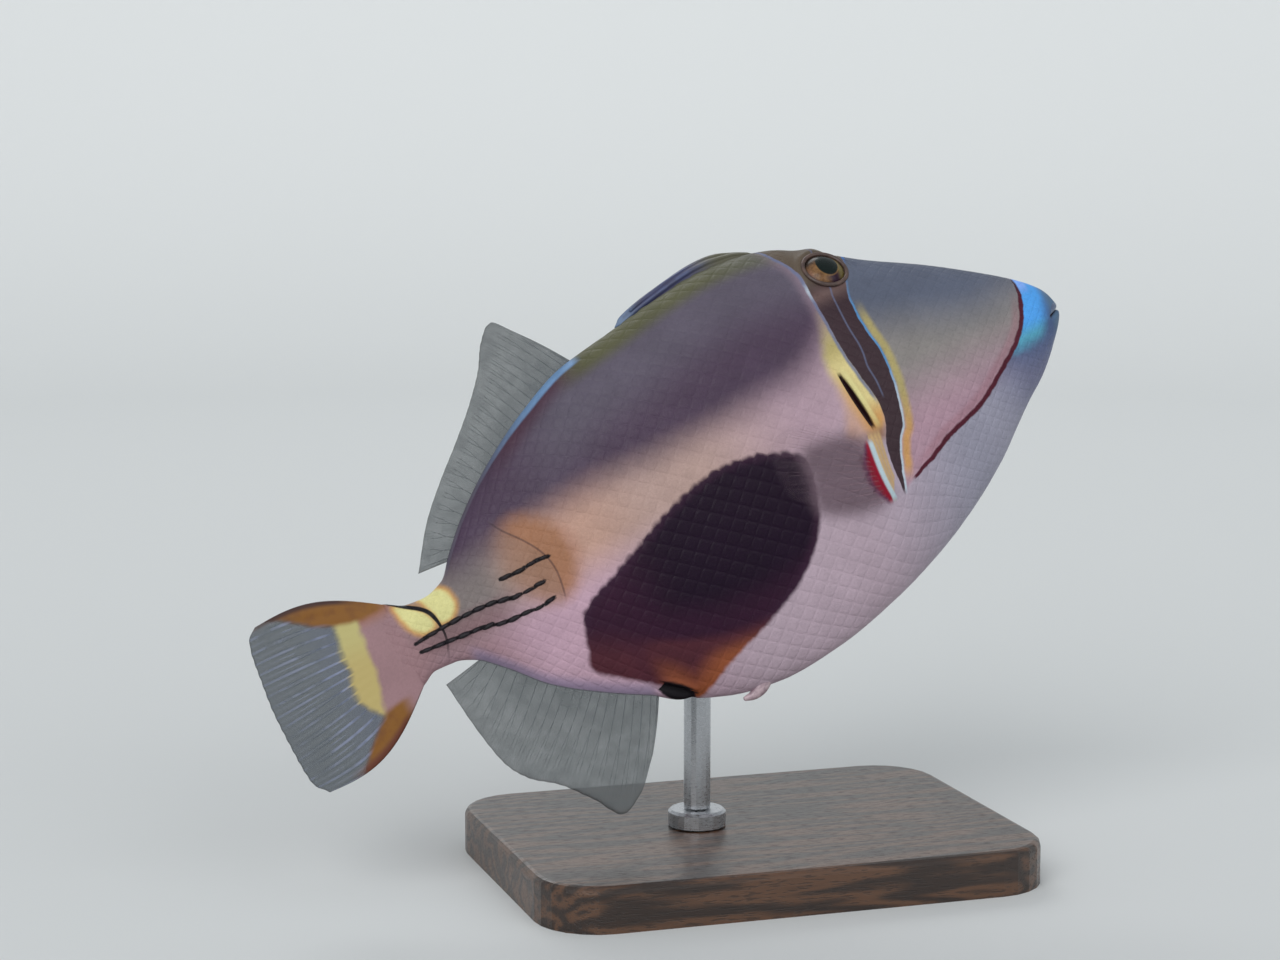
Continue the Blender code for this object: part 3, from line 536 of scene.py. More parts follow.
class Relief:
    """Ups and downs of the skin beside the bare body shape."""

    def __init__(self) -> None:
        """Finds the middles of the eyes and nostrils on both sides."""
        self.eyes = [EYE.centre(side) for side in Side]
        self.nostrils = [Vector(SHAPE.flank([s], [z], side.value)[0]) for side in Side for s, z in NOSTRILS]

    def from_eye(self, points: Array) -> Array:
        """Distance of points from the axis of the nearer eye."""
        best = np.full(len(points), 99.0)
        for centre, normal in self.eyes:
            offset = points - np.array(centre)
            deep = offset @ np.array(normal)
            flat = np.linalg.norm(offset - deep[:, None] * np.array(normal), axis=1)
            best = np.minimum(best, np.where(np.abs(deep) < 6, flat, 99.0))
        return best

    def soft(self, station: Array, height: Array) -> Array:
        """Slow swells that the scales follow too: cheek and gill cover."""
        cover = np.exp(-(((station - 52) / 5.5) ** 2 + ((height + 2) / 17) ** 2))
        nape = np.exp(-(((station - 30) / 12) ** 2 + ((height - 6) / 9) ** 2))
        return 0.35 * cover + 0.3 * nape

    def sharp(self, points: Array, f: dict[str, Array]) -> Array:
        """Small forms that the scales keep clear of.

        Args:
            points: points of the bare surface.
            f: the marking fields at those points.

        Returns:
            Height of each form, negative where it is a hollow.
        """
        station, height = f["station"], f["height"]
        eye = self.from_eye(points)
        rise = -2.6 * (1 - ease(eye, 3.6, 4.7)) + 0.5 * np.exp(-(((eye - 5.9) / 0.9) ** 2))
        rise += 0.9 * np.exp(-(((station - 47) / 4) ** 2 + ((height - 39.4) / 1.8) ** 2))
        for middle in self.nostrils:
            far = np.linalg.norm(points - np.array(middle), axis=1)
            rise += 0.22 * np.exp(-(((far - 0.75) / 0.25) ** 2)) - 0.8 * np.exp(-((far / 0.5) ** 4))
        slit = lens(f["slit_along"], GILL_SLIT_LENGTH)
        across = f["gill_slit"]
        rise -= 1.2 * slit * np.exp(-((across / (0.2 + 0.32 * slit)) ** 4))
        rise += 0.55 * slit * np.exp(-(((across - 1.4) / 0.7) ** 2))
        base = lens(f["base_along"], PECTORAL_LENGTH)
        rise += 1.0 * base * np.exp(-(((f["fin_base"] - 0.9) / 1.7) ** 2))
        rise -= 0.7 * base * np.exp(-(((f["fin_base"] + 1.8) / 0.9) ** 2))
        rise -= (1 - ease(station, 3.0, 4.6)) * np.exp(-(((height - mouth_height(station)) / 0.6) ** 2))
        groove = ease(station, 57.6, 59.6) * (1 - ease(station, 93, 95.5)) * (f["under_back"] < 8)
        rise -= 1.3 * groove * np.exp(-((points[:, 1] / (2.0 - 0.012 * (station - 60))) ** 4))
        vent = lens(f["vent_along"], VENT_LENGTH)
        ring = f["vent"] / 1.25
        rise += vent * 0.55 * np.exp(-((np.abs(ring) - 1) / 0.45) ** 2)
        return rise - vent * 0.9 * np.exp(-((ring / 0.55) ** 4))


RELIEF = Relief()


def new_mesh(name: str, bm: BMesh) -> bpy.types.Mesh:
    """Makes a smooth-shaded mesh from a bmesh and frees it."""
    mesh = bpy.data.meshes.new(name)
    bm.to_mesh(mesh)
    bm.free()
    mesh.shade_smooth()
    return mesh


def get_points(mesh: bpy.types.Mesh) -> Array:
    """The mesh's points, one row each."""
    flat = np.empty(len(mesh.vertices) * 3, np.float64)
    mesh.vertices.foreach_get("co", flat)
    return flat.reshape(-1, 3)


def set_points(mesh: bpy.types.Mesh, points: Array) -> None:
    """Moves the mesh's points."""
    mesh.vertices.foreach_set("co", points.astype(np.float32).ravel())
    mesh.update()


def set_fields(mesh: bpy.types.Mesh, **fields: Array) -> None:
    """Keeps one number a point for each field, as attributes."""
    for name, values in fields.items():
        attribute = mesh.attributes.new(name, "FLOAT", "POINT")
        attribute.data.foreach_set("value", np.asarray(values, np.float32))


def place_object(name: str, data: bpy.types.ID) -> bpy.types.Object:
    """New object of the scene."""
    thing = bpy.data.objects.new(name, data)
    bpy.context.scene.collection.objects.link(thing)
    return thing


def set_uv(mesh: bpy.types.Mesh, u: Array, v: Array) -> None:
    """Gives the mesh the map that its finish is baked on, from a place for each point."""
    layer = mesh.uv_layers.new(name="OFBake")
    corner = np.empty(len(mesh.loops), np.int32)
    mesh.loops.foreach_get("vertex_index", corner)
    layer.uv.foreach_set("vector", np.stack([u[corner], v[corner]], -1).astype(np.float32).ravel())


def unwrap(station: Array, angle: Array) -> tuple[Array, Array]:
    """Place of a point of the skin on its unrolled shape: length by way round."""
    return 0.02 + 0.96 * station / (BodyShape.END + 4), 0.02 + 0.96 * (angle + math.pi) / (2 * math.pi)


def to_world(points: Array) -> Array:
    """Carries points of the fish frame into the world."""
    matrix = np.array(POSE)
    return points @ matrix[:3, :3].T + matrix[:3, 3]


class Showroom:
    """Puts finished pieces into the scene, each on the fish's body, and hides the solids that they stand for.
    """

    def __init__(self) -> None:
        """Starts with no pieces."""
        self.count = 0

    def add(self, name: str, mesh: bpy.types.Mesh, material: bpy.types.Material, slot: Slot,
            nodes: Sequence[str] = ()) -> None:
        """Adds one piece of the model.

        Args:
            name: the piece's name.
            mesh: its mesh, in the fish frame.
            material: its finish.
            slot: the record's slot it belongs to; not used.
            nodes: the solids that it stands for.
        """
        set_points(mesh, to_world(get_points(mesh)))
        mesh.materials.append(material)
        piece = place_object(name, mesh)
        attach(piece, "root")
        if nodes:
            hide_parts(*nodes)
        self.count += 1
        LOG.info("%s: %d points, %d faces", name, len(mesh.vertices), len(mesh.polygons))


class Tiles:
    """Many copies of one small closed form, joined into one mesh."""

    def __init__(self, bm: BMesh) -> None:
        """Reads the form and frees it.

        Args:
            bm: the form to copy.
        """
        bm.verts.index_update()
        self.points = np.array([v.co[:] for v in bm.verts])
        faces = [[v.index for v in face.verts] for face in bm.faces]
        self.corners = np.array([k for face in faces for k in face], np.int32)
        self.starts = np.cumsum([0] + [len(face) for face in faces[:-1]]).astype(np.int32)
        bm.free()

    def join(self, name: str, points: Array) -> bpy.types.Mesh:
        """Joins copies into one mesh.

        Args:
            name: the mesh's name.
            points: the points of each copy, as copies by points by three.

        Returns:
            The joined mesh.
        """
        count, size = points.shape[0], points.shape[1]
        copies = np.arange(count, dtype=np.int32)[:, None]
        mesh = bpy.data.meshes.new(name)
        mesh.vertices.add(count * size)
        mesh.loops.add(count * len(self.corners))
        mesh.polygons.add(count * len(self.starts))
        mesh.vertices.foreach_set("co", points.reshape(-1, 3).astype(np.float32).ravel())
        mesh.loops.foreach_set("vertex_index", (self.corners + copies * size).ravel())
        mesh.polygons.foreach_set("loop_start", (self.starts + copies * len(self.corners)).ravel())
        mesh.update(calc_edges=True)
        mesh.validate()
        mesh.shade_smooth()
        return mesh


class Tubes:
    """One closed tube form, swept along many paths at once."""

    def __init__(self, rings: int, sides: int) -> None:
        """Rolls a grid into a tube and closes its seam and ends.

        Args:
            rings: steps along the tube.
            sides: faces round it.
        """
        bm = bmesh.new()
        bmesh.ops.create_grid(bm, x_segments=rings, y_segments=sides, size=1.0)
        for vert in bm.verts:
            level = (vert.co.x + 1) / 2
            turn = vert.co.y * math.pi
            reach = 0.0 if min(level, 1 - level) < 1e-4 else 1.0
            vert.co = Vector((level, reach * math.cos(turn), reach * math.sin(turn)))
        bmesh.ops.remove_doubles(bm, verts=bm.verts, dist=1e-4)
        bmesh.ops.recalc_face_normals(bm, faces=bm.faces)
        self.tiles = Tiles(bm)

    def sweep(self, name: str, paths: Array, radii: Array, across: Array) -> bpy.types.Mesh:
        """Lays one tube along each path.

        Args:
            name: the mesh's name.
            paths: points of each path, as paths by points by three.
            radii: radius at each of those points.
            across: direction of each tube's thickness at those points, or one for all.

        Returns:
            The joined tubes, with the attribute level from 0 at each root to 1 at each tip.
        """
        tangent = np.gradient(paths, axis=1)
        tangent /= np.maximum(np.linalg.norm(tangent, axis=-1, keepdims=True), 1e-9)
        wide = np.cross(across, tangent)
        wide /= np.maximum(np.linalg.norm(wide, axis=-1, keepdims=True), 1e-9)
        thick = np.cross(tangent, wide)
        place = self.tiles.points[:, 0] * (paths.shape[1] - 1)
        k = np.minimum(place.astype(int), paths.shape[1] - 2)
        share = (place - k)[None, :, None]

        def blend(values: Array) -> Array:
            """Values at the form's own steps along the tube."""
            return values[:, k] * (1 - share) + values[:, k + 1] * share

        radius = blend(radii[..., None])
        points = blend(paths) + blend(wide) * self.tiles.points[None, :, [1]] * radius
        points = points + blend(thick) * self.tiles.points[None, :, [2]] * radius
        mesh = self.tiles.join(name, points)
        set_fields(mesh, level=np.tile(self.tiles.points[:, 0], len(paths)))
        return mesh


class Graph:
    """Short way to lay out and join the nodes of one shader tree."""

    SURFACE = {"colour": "Base Color", "rough": "Roughness", "gloss": "Specular IOR Level", "clear": "Alpha",
               "coat": "Coat Weight", "coat_rough": "Coat Roughness", "metal": "Metallic"}

    def __init__(self, tree: bpy.types.NodeTree) -> None:
        """Works on one node tree."""
        self.tree = tree
        self.read: dict[str, Socket] = {}

    def __getitem__(self, name: str) -> Socket:
        """Value of an attribute of the mesh."""
        if name not in self.read:
            self.read[name] = self.node("ShaderNodeAttribute", attribute_name=name).outputs["Fac"]
        return self.read[name]

    def node(self, kind: str, **settings: object) -> bpy.types.Node:
        """New node of a kind, with its settings."""
        node = self.tree.nodes.new(kind)
        for name, value in settings.items():
            setattr(node, name, value)
        return node

    def feed(self, socket: Socket, value: object) -> None:
        """Joins a socket to another one, or sets its value, which for a colour is a display colour."""
        if isinstance(value, bpy.types.NodeSocket):
            self.tree.links.new(value, socket)
        elif socket.type == "RGBA":
            socket.default_value = linear(*value)
        else:
            socket.default_value = value

    def math(self, operation: str, a: object, b: object = 0.0) -> Socket:
        """Result of one Math node."""
        node = self.node("ShaderNodeMath", operation=operation)
        self.feed(node.inputs[0], a)
        self.feed(node.inputs[1], b)
        return node.outputs[0]

    def sum(self, a: object, b: object) -> Socket:
        """Sum of two values."""
        return self.math("ADD", a, b)

    def times(self, *values: object) -> Socket:
        """Product of values or masks."""
        return functools.reduce(lambda a, b: self.math("MULTIPLY", a, b), values)

    def rise(self, value: object, low: float, high: float, start: float = 0.0, end: float = 1.0) -> Socket:
        """Smooth change from start at low to end at high."""
        node = self.node("ShaderNodeMapRange", interpolation_type="SMOOTHSTEP")
        for socket, given in zip(node.inputs, (value, low, high, start, end)):
            self.feed(socket, given)
        return node.outputs[0]

    def stripe(self, value: object, half: float, soft: float, centre: float = 0.0) -> Socket:
        """1 within half of a centre, fading to 0 over a soft edge."""
        away = self.math("ABSOLUTE", self.math("SUBTRACT", value, centre))
        return self.rise(away, half - soft, half + soft, 1.0, 0.0)

    def between(self, value: object, low: float, high: float, soft: float) -> Socket:
        """1 between two values, with soft ends."""
        return self.stripe(value, (high - low) / 2, soft, (high + low) / 2)

    def mix(self, under: object, over: object, mask: object, blend: str = "MIX") -> Socket:
        """Lays one colour over another where a mask is 1."""
        node = self.node("ShaderNodeMix", data_type="RGBA", blend_type=blend)
        for index, value in ((0, mask), (6, under), (7, over)):
            self.feed(node.inputs[index], value)
        return node.outputs[2]

    def blend(self, value: object, colour: object, *steps: tuple) -> Socket:
        """Lays further colours over one as a value rises.

        Args:
            value: what the colours follow.
            colour: the first colour.
            steps: for each further one, where it starts and ends to come in, the colour and any share
                other than 1.

        Returns:
            The blended colour.
        """
        for low, high, over, *most in steps:
            colour = self.mix(colour, over, self.rise(value, low, high, 0.0, *(most or (1.0,))))
        return colour

    def grey(self, value: Socket) -> Socket:
        """Colour with one value in every channel."""
        node = self.node("ShaderNodeCombineColor")
        for socket in node.inputs:
            self.feed(socket, value)
        return node.outputs[0]

    def place(self) -> Socket:
        """Place of the point in the object's own frame, in metres."""
        if "place" not in self.read:
            self.read["place"] = self.node("ShaderNodeTexCoord").outputs["Object"]
        return self.read["place"]

    def noise(self, scale: float, detail: float = 3.0, rough: float = 0.5, warp: float = 0.0,
              stretch: Sequence[float] | None = None) -> Socket:
        """Cloudy value from 0 to 1.

        Args:
            scale: clouds to the metre.
            detail: how many finer layers it has.
            rough: how strong they are.
            warp: how far it is bent.
            stretch: share of the scale on each axis, where it isn't the same on all.

        Returns:
            The value.
        """
        place = self.place()
        if stretch:
            mapping = self.node("ShaderNodeMapping")
            mapping.inputs["Scale"].default_value = stretch
            self.feed(mapping.inputs["Vector"], place)
            place = mapping.outputs["Vector"]
        node = self.node("ShaderNodeTexNoise")
        values = {"Vector": place, "Scale": scale, "Detail": detail, "Roughness": rough, "Distortion": warp}
        for name, value in values.items():
            self.feed(node.inputs[name], value)
        return node.outputs["Fac"]

    def cells(self, scale: float) -> Socket:
        """Distance to the middle of the nearest cell."""
        node = self.node("ShaderNodeTexVoronoi", feature="F1")
        self.feed(node.inputs["Vector"], self.place())
        self.feed(node.inputs["Scale"], scale)
        return node.outputs["Distance"]

    def group(self, name: str) -> bpy.types.NodeOutputs:
        """Places a shared node group and gives its outputs."""
        return self.node("ShaderNodeGroup", node_tree=bpy.data.node_groups[name]).outputs

    def surface(self, **values: object) -> None:
        """Feeds or sets the material's shader, by the short names of SURFACE."""
        shader = self.tree.nodes["Principled BSDF"]
        for name, value in values.items():
            self.feed(shader.inputs[self.SURFACE[name]], value)

    def bump(self, height: Socket, depth_mm: float) -> None:
        """Roughens the material by a height from 0 to 1."""
        node = self.node("ShaderNodeBump")
        for name, value in {"Strength": 1.0, "Distance": depth_mm * MM, "Height": height}.items():
            self.feed(node.inputs[name], value)
        self.feed(self.tree.nodes["Principled BSDF"].inputs["Normal"], node.outputs["Normal"])


def start_group(name: str, outputs: dict[str, str]) -> tuple[Graph, bpy.types.NodeInputs]:
    """New node group with named outputs.

    Args:
        name: the group's name.
        outputs: socket types by name.

    Returns:
        The group's graph and the sockets that it puts out.
    """
    tree = bpy.data.node_groups.new(name, "ShaderNodeTree")
    for label, kind in outputs.items():
        tree.interface.new_socket(name=label, in_out="OUTPUT", socket_type="NodeSocket" + kind)
    graph = Graph(tree)
    return graph, graph.node("NodeGroupOutput").inputs


@dataclass(frozen=True)
class SkinColours:
    """Display colours of the skin's markings."""

    belly_front: Tone = (150, 148, 164)
    belly: Tone = (180, 160, 172)
    belly_rear: Tone = (190, 157, 173)
    lilac: Tone = (174, 148, 160)
    cream: Tone = (178, 150, 142)
    cream_rear: Tone = (188, 150, 134)
    stalk: Tone = (128, 118, 116)
    mauve: Tone = (76, 60, 79)
    mauve_top: Tone = (93, 86, 100)
    mauve_red: Tone = (78, 52, 66)
    olive: Tone = (88, 88, 58)
    snout: Tone = (91, 97, 114)
    cheek: Tone = (136, 131, 128)
    cheek_low: Tone = (172, 140, 154)
    tan: Tone = (156, 108, 78)
    tan_rear: Tone = (148, 110, 88)
    stalk_low: Tone = (158, 126, 134)
    stalk_rose: Tone = (124, 92, 96)
    patch_plum: Tone = (50, 18, 42)
    # painted shade inside the gill slit, nostrils and mouth line
    slit: Tone = (36, 14, 20)
    olive_nape: Tone = (90, 90, 74)
    tail_orange: Tone = (146, 96, 62)
    tan_pink: Tone = (168, 120, 100)
    band: Tone = (60, 44, 50)
    band_top: Tone = (92, 80, 68)
    band_pink: Tone = (112, 90, 86)
    blue_line: Tone = (84, 138, 188)
    dim_line: Tone = (104, 112, 142)
    pale_line: Tone = (182, 194, 206)
    deep_blue: Tone = (44, 100, 172)
    yellow: Tone = (216, 200, 140)
    olive_yellow: Tone = (172, 158, 104)
    orange: Tone = (202, 152, 92)
    maroon: Tone = (78, 24, 40)
    maroon_halo: Tone = (150, 98, 108)
    blue_top: Tone = (130, 174, 248)
    snout_blue: Tone = (82, 162, 236)
    snout_teal: Tone = (86, 160, 186)
    muzzle: Tone = (72, 92, 130)
    muzzle_low: Tone = (112, 114, 142)
    muzzle_tip: Tone = (84, 110, 138)
    gill_rear: Tone = (198, 148, 104)
    patch: Tone = (24, 3, 28)
    patch_rim: Tone = (52, 26, 48)
    patch_brown: Tone = (78, 36, 46)
    patch_orange: Tone = (146, 80, 50)
    black: Tone = (18, 14, 20)
    saddle: Tone = (218, 212, 148)
    red: Tone = (142, 20, 44)
    red_dark: Tone = (98, 50, 78)
    stripe_tan: Tone = (190, 158, 112)
    stripe_pale: Tone = (178, 196, 204)
    # the clear pectoral fin over the flank: partly its tint, partly its painted shadow
    dusk: Tone = (106, 88, 98)
    edge_blue: Tone = (114, 148, 188)
    edge_lilac: Tone = (140, 130, 162)
    tail_pink: Tone = (150, 118, 122)


class SkinPattern:
    """Node group that paints the markings from the mesh's fields, one over the other."""

    NAME = "skin_markings"

    def __init__(self, colours: SkinColours) -> None:
        """Builds the group once.

        Args:
            colours: the colours to paint with.
        """
        self.c = c = colours
        self.g, end = start_group(self.NAME, {"Color": "Color", "Roughness": "Float", "Height": "Float"})
        g = self.g
        self.colour: object = c.belly
        self.wander = g.math("SUBTRACT", g.noise(420, 2), 0.5)
        for part in (self.ground, self.back, self.head, self.rear, self.belly_patch, self.gill, self.eye_band,
                     self.pectoral_base, self.snout, self.stalk):
            part()
        # Painted shade inside the openings: dark red, black low down at the vent.
        self.lay(g.blend(g["height"], c.black, (-20, -10, c.slit)), g["hole"])
        broad = g.rise(g.noise(95, 4, 0.6), 0.3, 0.7, 0.93, 1.06)
        specks = g.rise(g.noise(1900, 3, 0.7), 0.3, 0.7, 0.955, 1.045)
        g.feed(end["Color"], g.mix(self.colour, g.grey(g.times(broad, specks)), 1.0, "MULTIPLY"))
        g.feed(end["Roughness"], g.rise(g.noise(260, 4, 0.6), 0.3, 0.7, 0.42, 0.56))
        g.feed(end["Height"], g.noise(2600, 3, 0.6))

    def lay(self, over: object, *masks: object) -> None:
        """Lays a colour over what is painted so far, by the product of masks."""
        self.colour = self.g.mix(self.colour, over, self.g.times(*masks))

    def shaken(self, name: str, amount: float) -> Socket:
        """Field whose edge wanders a little."""
        return self.g.sum(self.g[name], self.g.times(self.wander, amount))

    def ground(self) -> None:
        """Belly, flank and tail stalk under the markings."""
        g, c = self.g, self.c
        height, station = g["height"], g["station"]
        belly = g.blend(station, c.belly_front, (34, 72, c.belly), (96, 132, c.belly_rear),
                        (140, 154, c.stalk_low))
        flank = g.blend(station, c.lilac, (68, 98, c.cream), (106, 126, c.cream_rear), (134, 149, c.stalk))
        self.colour = g.blend(height, belly, (-9, 3, flank))
        self.lay(c.stalk_rose, g.between(self.shaken("height", 1.6), -4.6, 0.4, 1.6),
                 g.rise(station, 141, 149), 0.6)

    def back(self) -> None:
        """Dark mauve upper flank, greyer on top, with the olive ridge and the fins' blue base lines."""
        g, c = self.g, self.c
        station, depth = g["station"], g["under_back"]
        dark = g.blend(station, g.blend(depth, c.mauve, (24, 9, c.mauve_top)), (112, 136, c.mauve))
        red = g.times(g.rise(depth, 6.5, 1.5), g.between(station, 107, 132, 6), 0.9)
        self.lay(g.mix(dark, c.mauve_red, red), g.rise(self.shaken("flank_edge", 1.4), -7.4, 4.4),
                 g.rise(station, 160, 150), g.rise(g["band_rear"], 0.2, -3.6, 0.6, 1.0))
        self.lay(g.blend(station, c.olive_nape, (60, 76, c.olive)), g.rise(depth, 7.0, 3.0),
                 g.between(station, 57, 110, 5), 0.9)
        thin = g.math("DIVIDE", depth, g.rise(station, 116, 140, 2.1, 1.1))
        self.lay(g.blend(station, c.edge_blue, (114, 142, c.mauve_top)), g.rise(thin, 1.0, 0.62),
                 g.between(station, 106.5, 153, 1.5))
        self.lay(c.edge_lilac, g.rise(g["over_belly"], 4.0, 0.6), g.between(station, 124, 156, 1.5), 0.65)

    def head(self) -> None:
        """Grey snout and forehead over a beige and pink cheek."""
        g, c = self.g, self.c
        cheek = g.blend(self.shaken("height", 1.6), c.cheek_low, (-8, 9, c.cheek))
        cheek = g.blend(self.shaken("snout_edge", 1.2), cheek, (-9.0, 6.0, c.snout))
        self.lay(cheek, g.rise(g["band_front"], -0.5, 0.5), g.rise(g["cheek_line"], 0.5, -0.5))

    def rear(self) -> None:
        """Tan blotch with its dark arc, and the pink flesh of the tail's root."""
        g, c = self.g, self.c
        station = g["station"]
        tint = g.blend(g["scale_arc"], c.tan_rear, (-0.8, 0.4, c.tan))
        self.lay(g.blend(station, tint, (129.5, 126.5, c.tan_pink)),
                 g.rise(self.shaken("tan_blotch", 1.8), -3.0, 2.4), g.rise(station, 134, 145, 0.9, 0.4))
        self.lay(c.band, g.stripe(g["scale_arc"], 0.2, 0.14), g.between(g["arc_along"], 0, 24, 1.5), 0.6)
        self.lay(c.tail_pink, g.rise(station, 160, 169))
        self.lay(c.tail_orange, g.rise(g["tail_top"], -3.0, 0.6), g.rise(station, 165, 169.5), 0.75)

    def belly_patch(self) -> None:
        """Black-purple patch, brown in its rear corner and orange along the lower edge."""
        g, c = self.g, self.c
        station, lift = g["station"], g["over_belly"]
        teeth = g.math("ABSOLUTE", g.math("SINE", g.times(station, 1.16)))
        ragged = g.times(g.rise(g["height"], -16, -8, 0.0, 0.55), g.sum(self.wander, 0.6))
        inside = g.sum(g["belly_patch"], g.times(g.math("SUBTRACT", teeth, 0.6), ragged))
        fill = g.blend(station, c.patch, (108, 128, c.patch_plum))
        fill = g.blend(lift, fill, (24, 15, c.patch_plum, 0.8))
        fill = g.blend(inside, fill, (2.6, 0.0, c.patch_rim, 0.9))
        fill = g.mix(fill, c.patch_brown, g.times(g.rise(lift, 17, 7), g.rise(station, 117, 128)))
        low = g.times(g.rise(lift, 15.5, 6.5), g.rise(station, 127, 117), g.rise(station, 82, 95))
        fill = g.blend(low, fill, (0.0, 0.35, c.patch_brown))
        fill = g.mix(fill, c.patch_orange, g.times(g.rise(low, 0.2, 1.0), g.rise(inside, 7.0, 0.8)))
        self.lay(fill, g.rise(g.sum(inside, self.wander), -0.6, 0.6))

    def gill(self) -> None:
        """Yellow and orange skin round the gill slit, paler on the ridge in front of it, partly as painted
        highlight, and darker at its lower end as painted shade.
        """
        g, c = self.g, self.c
        height, slit = g["height"], g["gill_slit"]
        zone = g.blend(height, c.orange, (-2, 4, c.yellow), (11, 17, c.olive_yellow))
        # Paler stripe on the ridge in front of the slit: partly the ridge's own pale tone, partly painted
        # highlight.
        pale = g.times(g.between(slit, 0.6, 1.6, 0.5), g.between(height, -3, 11, 2.5), 0.6)
        zone = g.mix(zone, c.saddle, pale)
        zone = g.mix(zone, c.gill_rear, g.times(g.rise(slit, 0.2, -1.0), g.rise(height, 15, 4), 0.85))
        # The zone's lower end darkens to tan: painted shade.
        self.lay(g.blend(height, zone, (-2.4, -4.8, c.tan_rear)),
                 g.rise(self.shaken("gill_zone", 1.0), -1.6, 1.4), g.rise(height, 24, 16, 0.35, 1.0),
                 g.rise(slit, -0.6, -3.2, 1.0, 0.5))

    def eye_band(self) -> None:
        """Brown band from the nape through the eye to the fin base, edged blue and yellow."""
        g, c = self.g, self.c
        height = g["height"]
        front, rear = self.shaken("band_front", 0.5), self.shaken("band_rear", 0.5)
        foot = g.rise(height, -19.6, -17.6)
        self.lay(g.blend(height, c.orange, (-9, 3, c.olive_yellow)), g.between(front, 0.6, 2.5, 0.7),
                 g.rise(height, 25, 18), g.rise(height, -17.5, -13), 0.95)
        ahead = g.times(g.between(front, -0.1, 0.5, 0.22), foot, g.rise(height, 22, 29, 1.0, 0.3))
        brow = g.times(g.between(front, -0.6, 0.7, 0.25), g.rise(height, 33, 35))
        self.lay(g.blend(height, c.pale_line, (-1, 9, c.blue_line), (32, 34.5, c.deep_blue)),
                 g.math("MAXIMUM", ahead, brow))
        dim = g.mix(c.dim_line, c.pale_line, g.stripe(height, 1.5, 2.0, 30.5))
        self.lay(g.blend(height, dim, (31, 34, c.dim_line)), g.between(rear, -0.7, 0.1, 0.3),
                 g.rise(height, 0.5, 4), 0.85)
        brown = g.mix(c.band, c.band_pink, g.stripe(height, 1.0, 3.0, 28.5))
        inside = g.times(g.rise(front, 0.12, -0.12), g.rise(rear, -0.12, 0.12), foot)
        self.lay(g.blend(height, brown, (29, 34, c.band_top)), inside)
        self.lay(c.dim_line, g.stripe(g["band_middle"], 0.2, 0.14), inside,
                 g.between(g["middle_along"], -2, 41.5, 1), 0.6)

    def pectoral_base(self) -> None:
        """Tan and pale stripes, the red axil and the dusk behind it, where the clear fin lies over the flank:
        partly the fin's tint, partly its painted shadow.
        """
        g, c = self.g, self.c
        across, along = g["fin_base"], g["base_along"]
        # Dusk where the clear fin lies over the flank: partly the fin's tint, partly its painted shadow.
        self.lay(c.dusk, g.rise(g["dusk"], -3.0, 2.4, 0.0, 0.95))
        length = g.between(along, 0.2, 14.1, 0.8)
        bulge = g.times(g.rise(along, 0.0, 5.5, 0.35, 1.0), g.rise(along, 14.2, 8.5, 0.4, 1.0))
        axil = g.math("DIVIDE", self.shaken("fin_base", 0.7), bulge)
        self.lay(g.blend(axil, c.red_dark, (-2.1, -1.0, c.red)), g.rise(axil, -3.8, -1.7),
                 g.rise(axil, 0.6, 0.1), length)
        front = g.math("DIVIDE", across, g.rise(along, 9.0, 13.5, 1.0, 0.3))
        grain = g.rise(g.math("SINE", g.times(across, 7.0)), -1.0, 1.0, 0.72, 1.0)
        self.lay(c.stripe_tan, g.rise(across, 0.2, 0.4), g.rise(front, 3.6, 2.8),
                 g.between(along, -1.4, 14.0, 1.0), grain)
        slim = g.sum(across, g.rise(along, 0.0, 14.0, 0.25, -0.1))
        self.lay(c.stripe_pale, g.between(slim, 0.1, 1.1, 0.25), length)

    def snout(self) -> None:
        """Blue muzzle behind grey lips, and the maroon line down the cheek."""
        g, c = self.g, self.c
        ahead, height, along = g["cheek_line"], g["height"], g["cheek_along"]
        muzzle = g.blend(height, c.muzzle_low, (-9, 2, c.muzzle))
        self.lay(g.blend(g["station"], muzzle, (5.0, 2.0, c.muzzle_tip)), g.rise(ahead, -0.3, 0.3),
                 g.rise(along, 34, 16))
        tint = g.blend(height, c.snout_teal, (0.0, 4.0, c.snout_blue))
        tint = g.mix(tint, c.blue_top, g.times(g.rise(height, 9, 12), g.rise(ahead, 3.4, 2.2)))
        self.lay(tint, g.rise(ahead, 0.2, 0.7), g.rise(self.shaken("cheek_line", 1.2), 7.8, 4.0),
                 g.rise(self.shaken("height", 2.0), -3.0, 0.8))
        self.lay(c.maroon_halo, g.between(ahead, -2.3, -0.4, 0.8), g.between(along, 7, 54, 5), 0.4)
        width = g.times(g.rise(along, 50, 57, 1.0, 0.7), g.rise(along, 0, 7, 0.3, 1.0))
        wavy = g.math("DIVIDE", self.shaken("cheek_line", 0.8), width)
        self.lay(g.blend(along, c.band, (0, 5, c.maroon)), g.stripe(wavy, 0.55, 0.2),
                 g.between(along, 0.0, 57.5, 0.6))

    def stalk(self) -> None:
        """Bright saddles on the tail stalk, the black line between them and the rows' dark ground."""
        g, c = self.g, self.c
        inside, along = self.shaken("saddle", 0.8), g["stalk_along"]
        self.lay(g.blend(inside, c.orange, (-0.3, 1.1, c.saddle)), g.rise(inside, -1.3, 0.4))
        line = g.math("DIVIDE", g["stalk_line"], g.rise(along, 11, 17, 1.0, 0.5))
        self.lay(c.black, g.stripe(line, 0.5, 0.16), g.rise(along, 24.5, 15), g.rise(along, -0.5, 0.5))
        self.lay(c.black, g.rise(self.shaken("spine_row", 0.5), -0.55, -0.3))


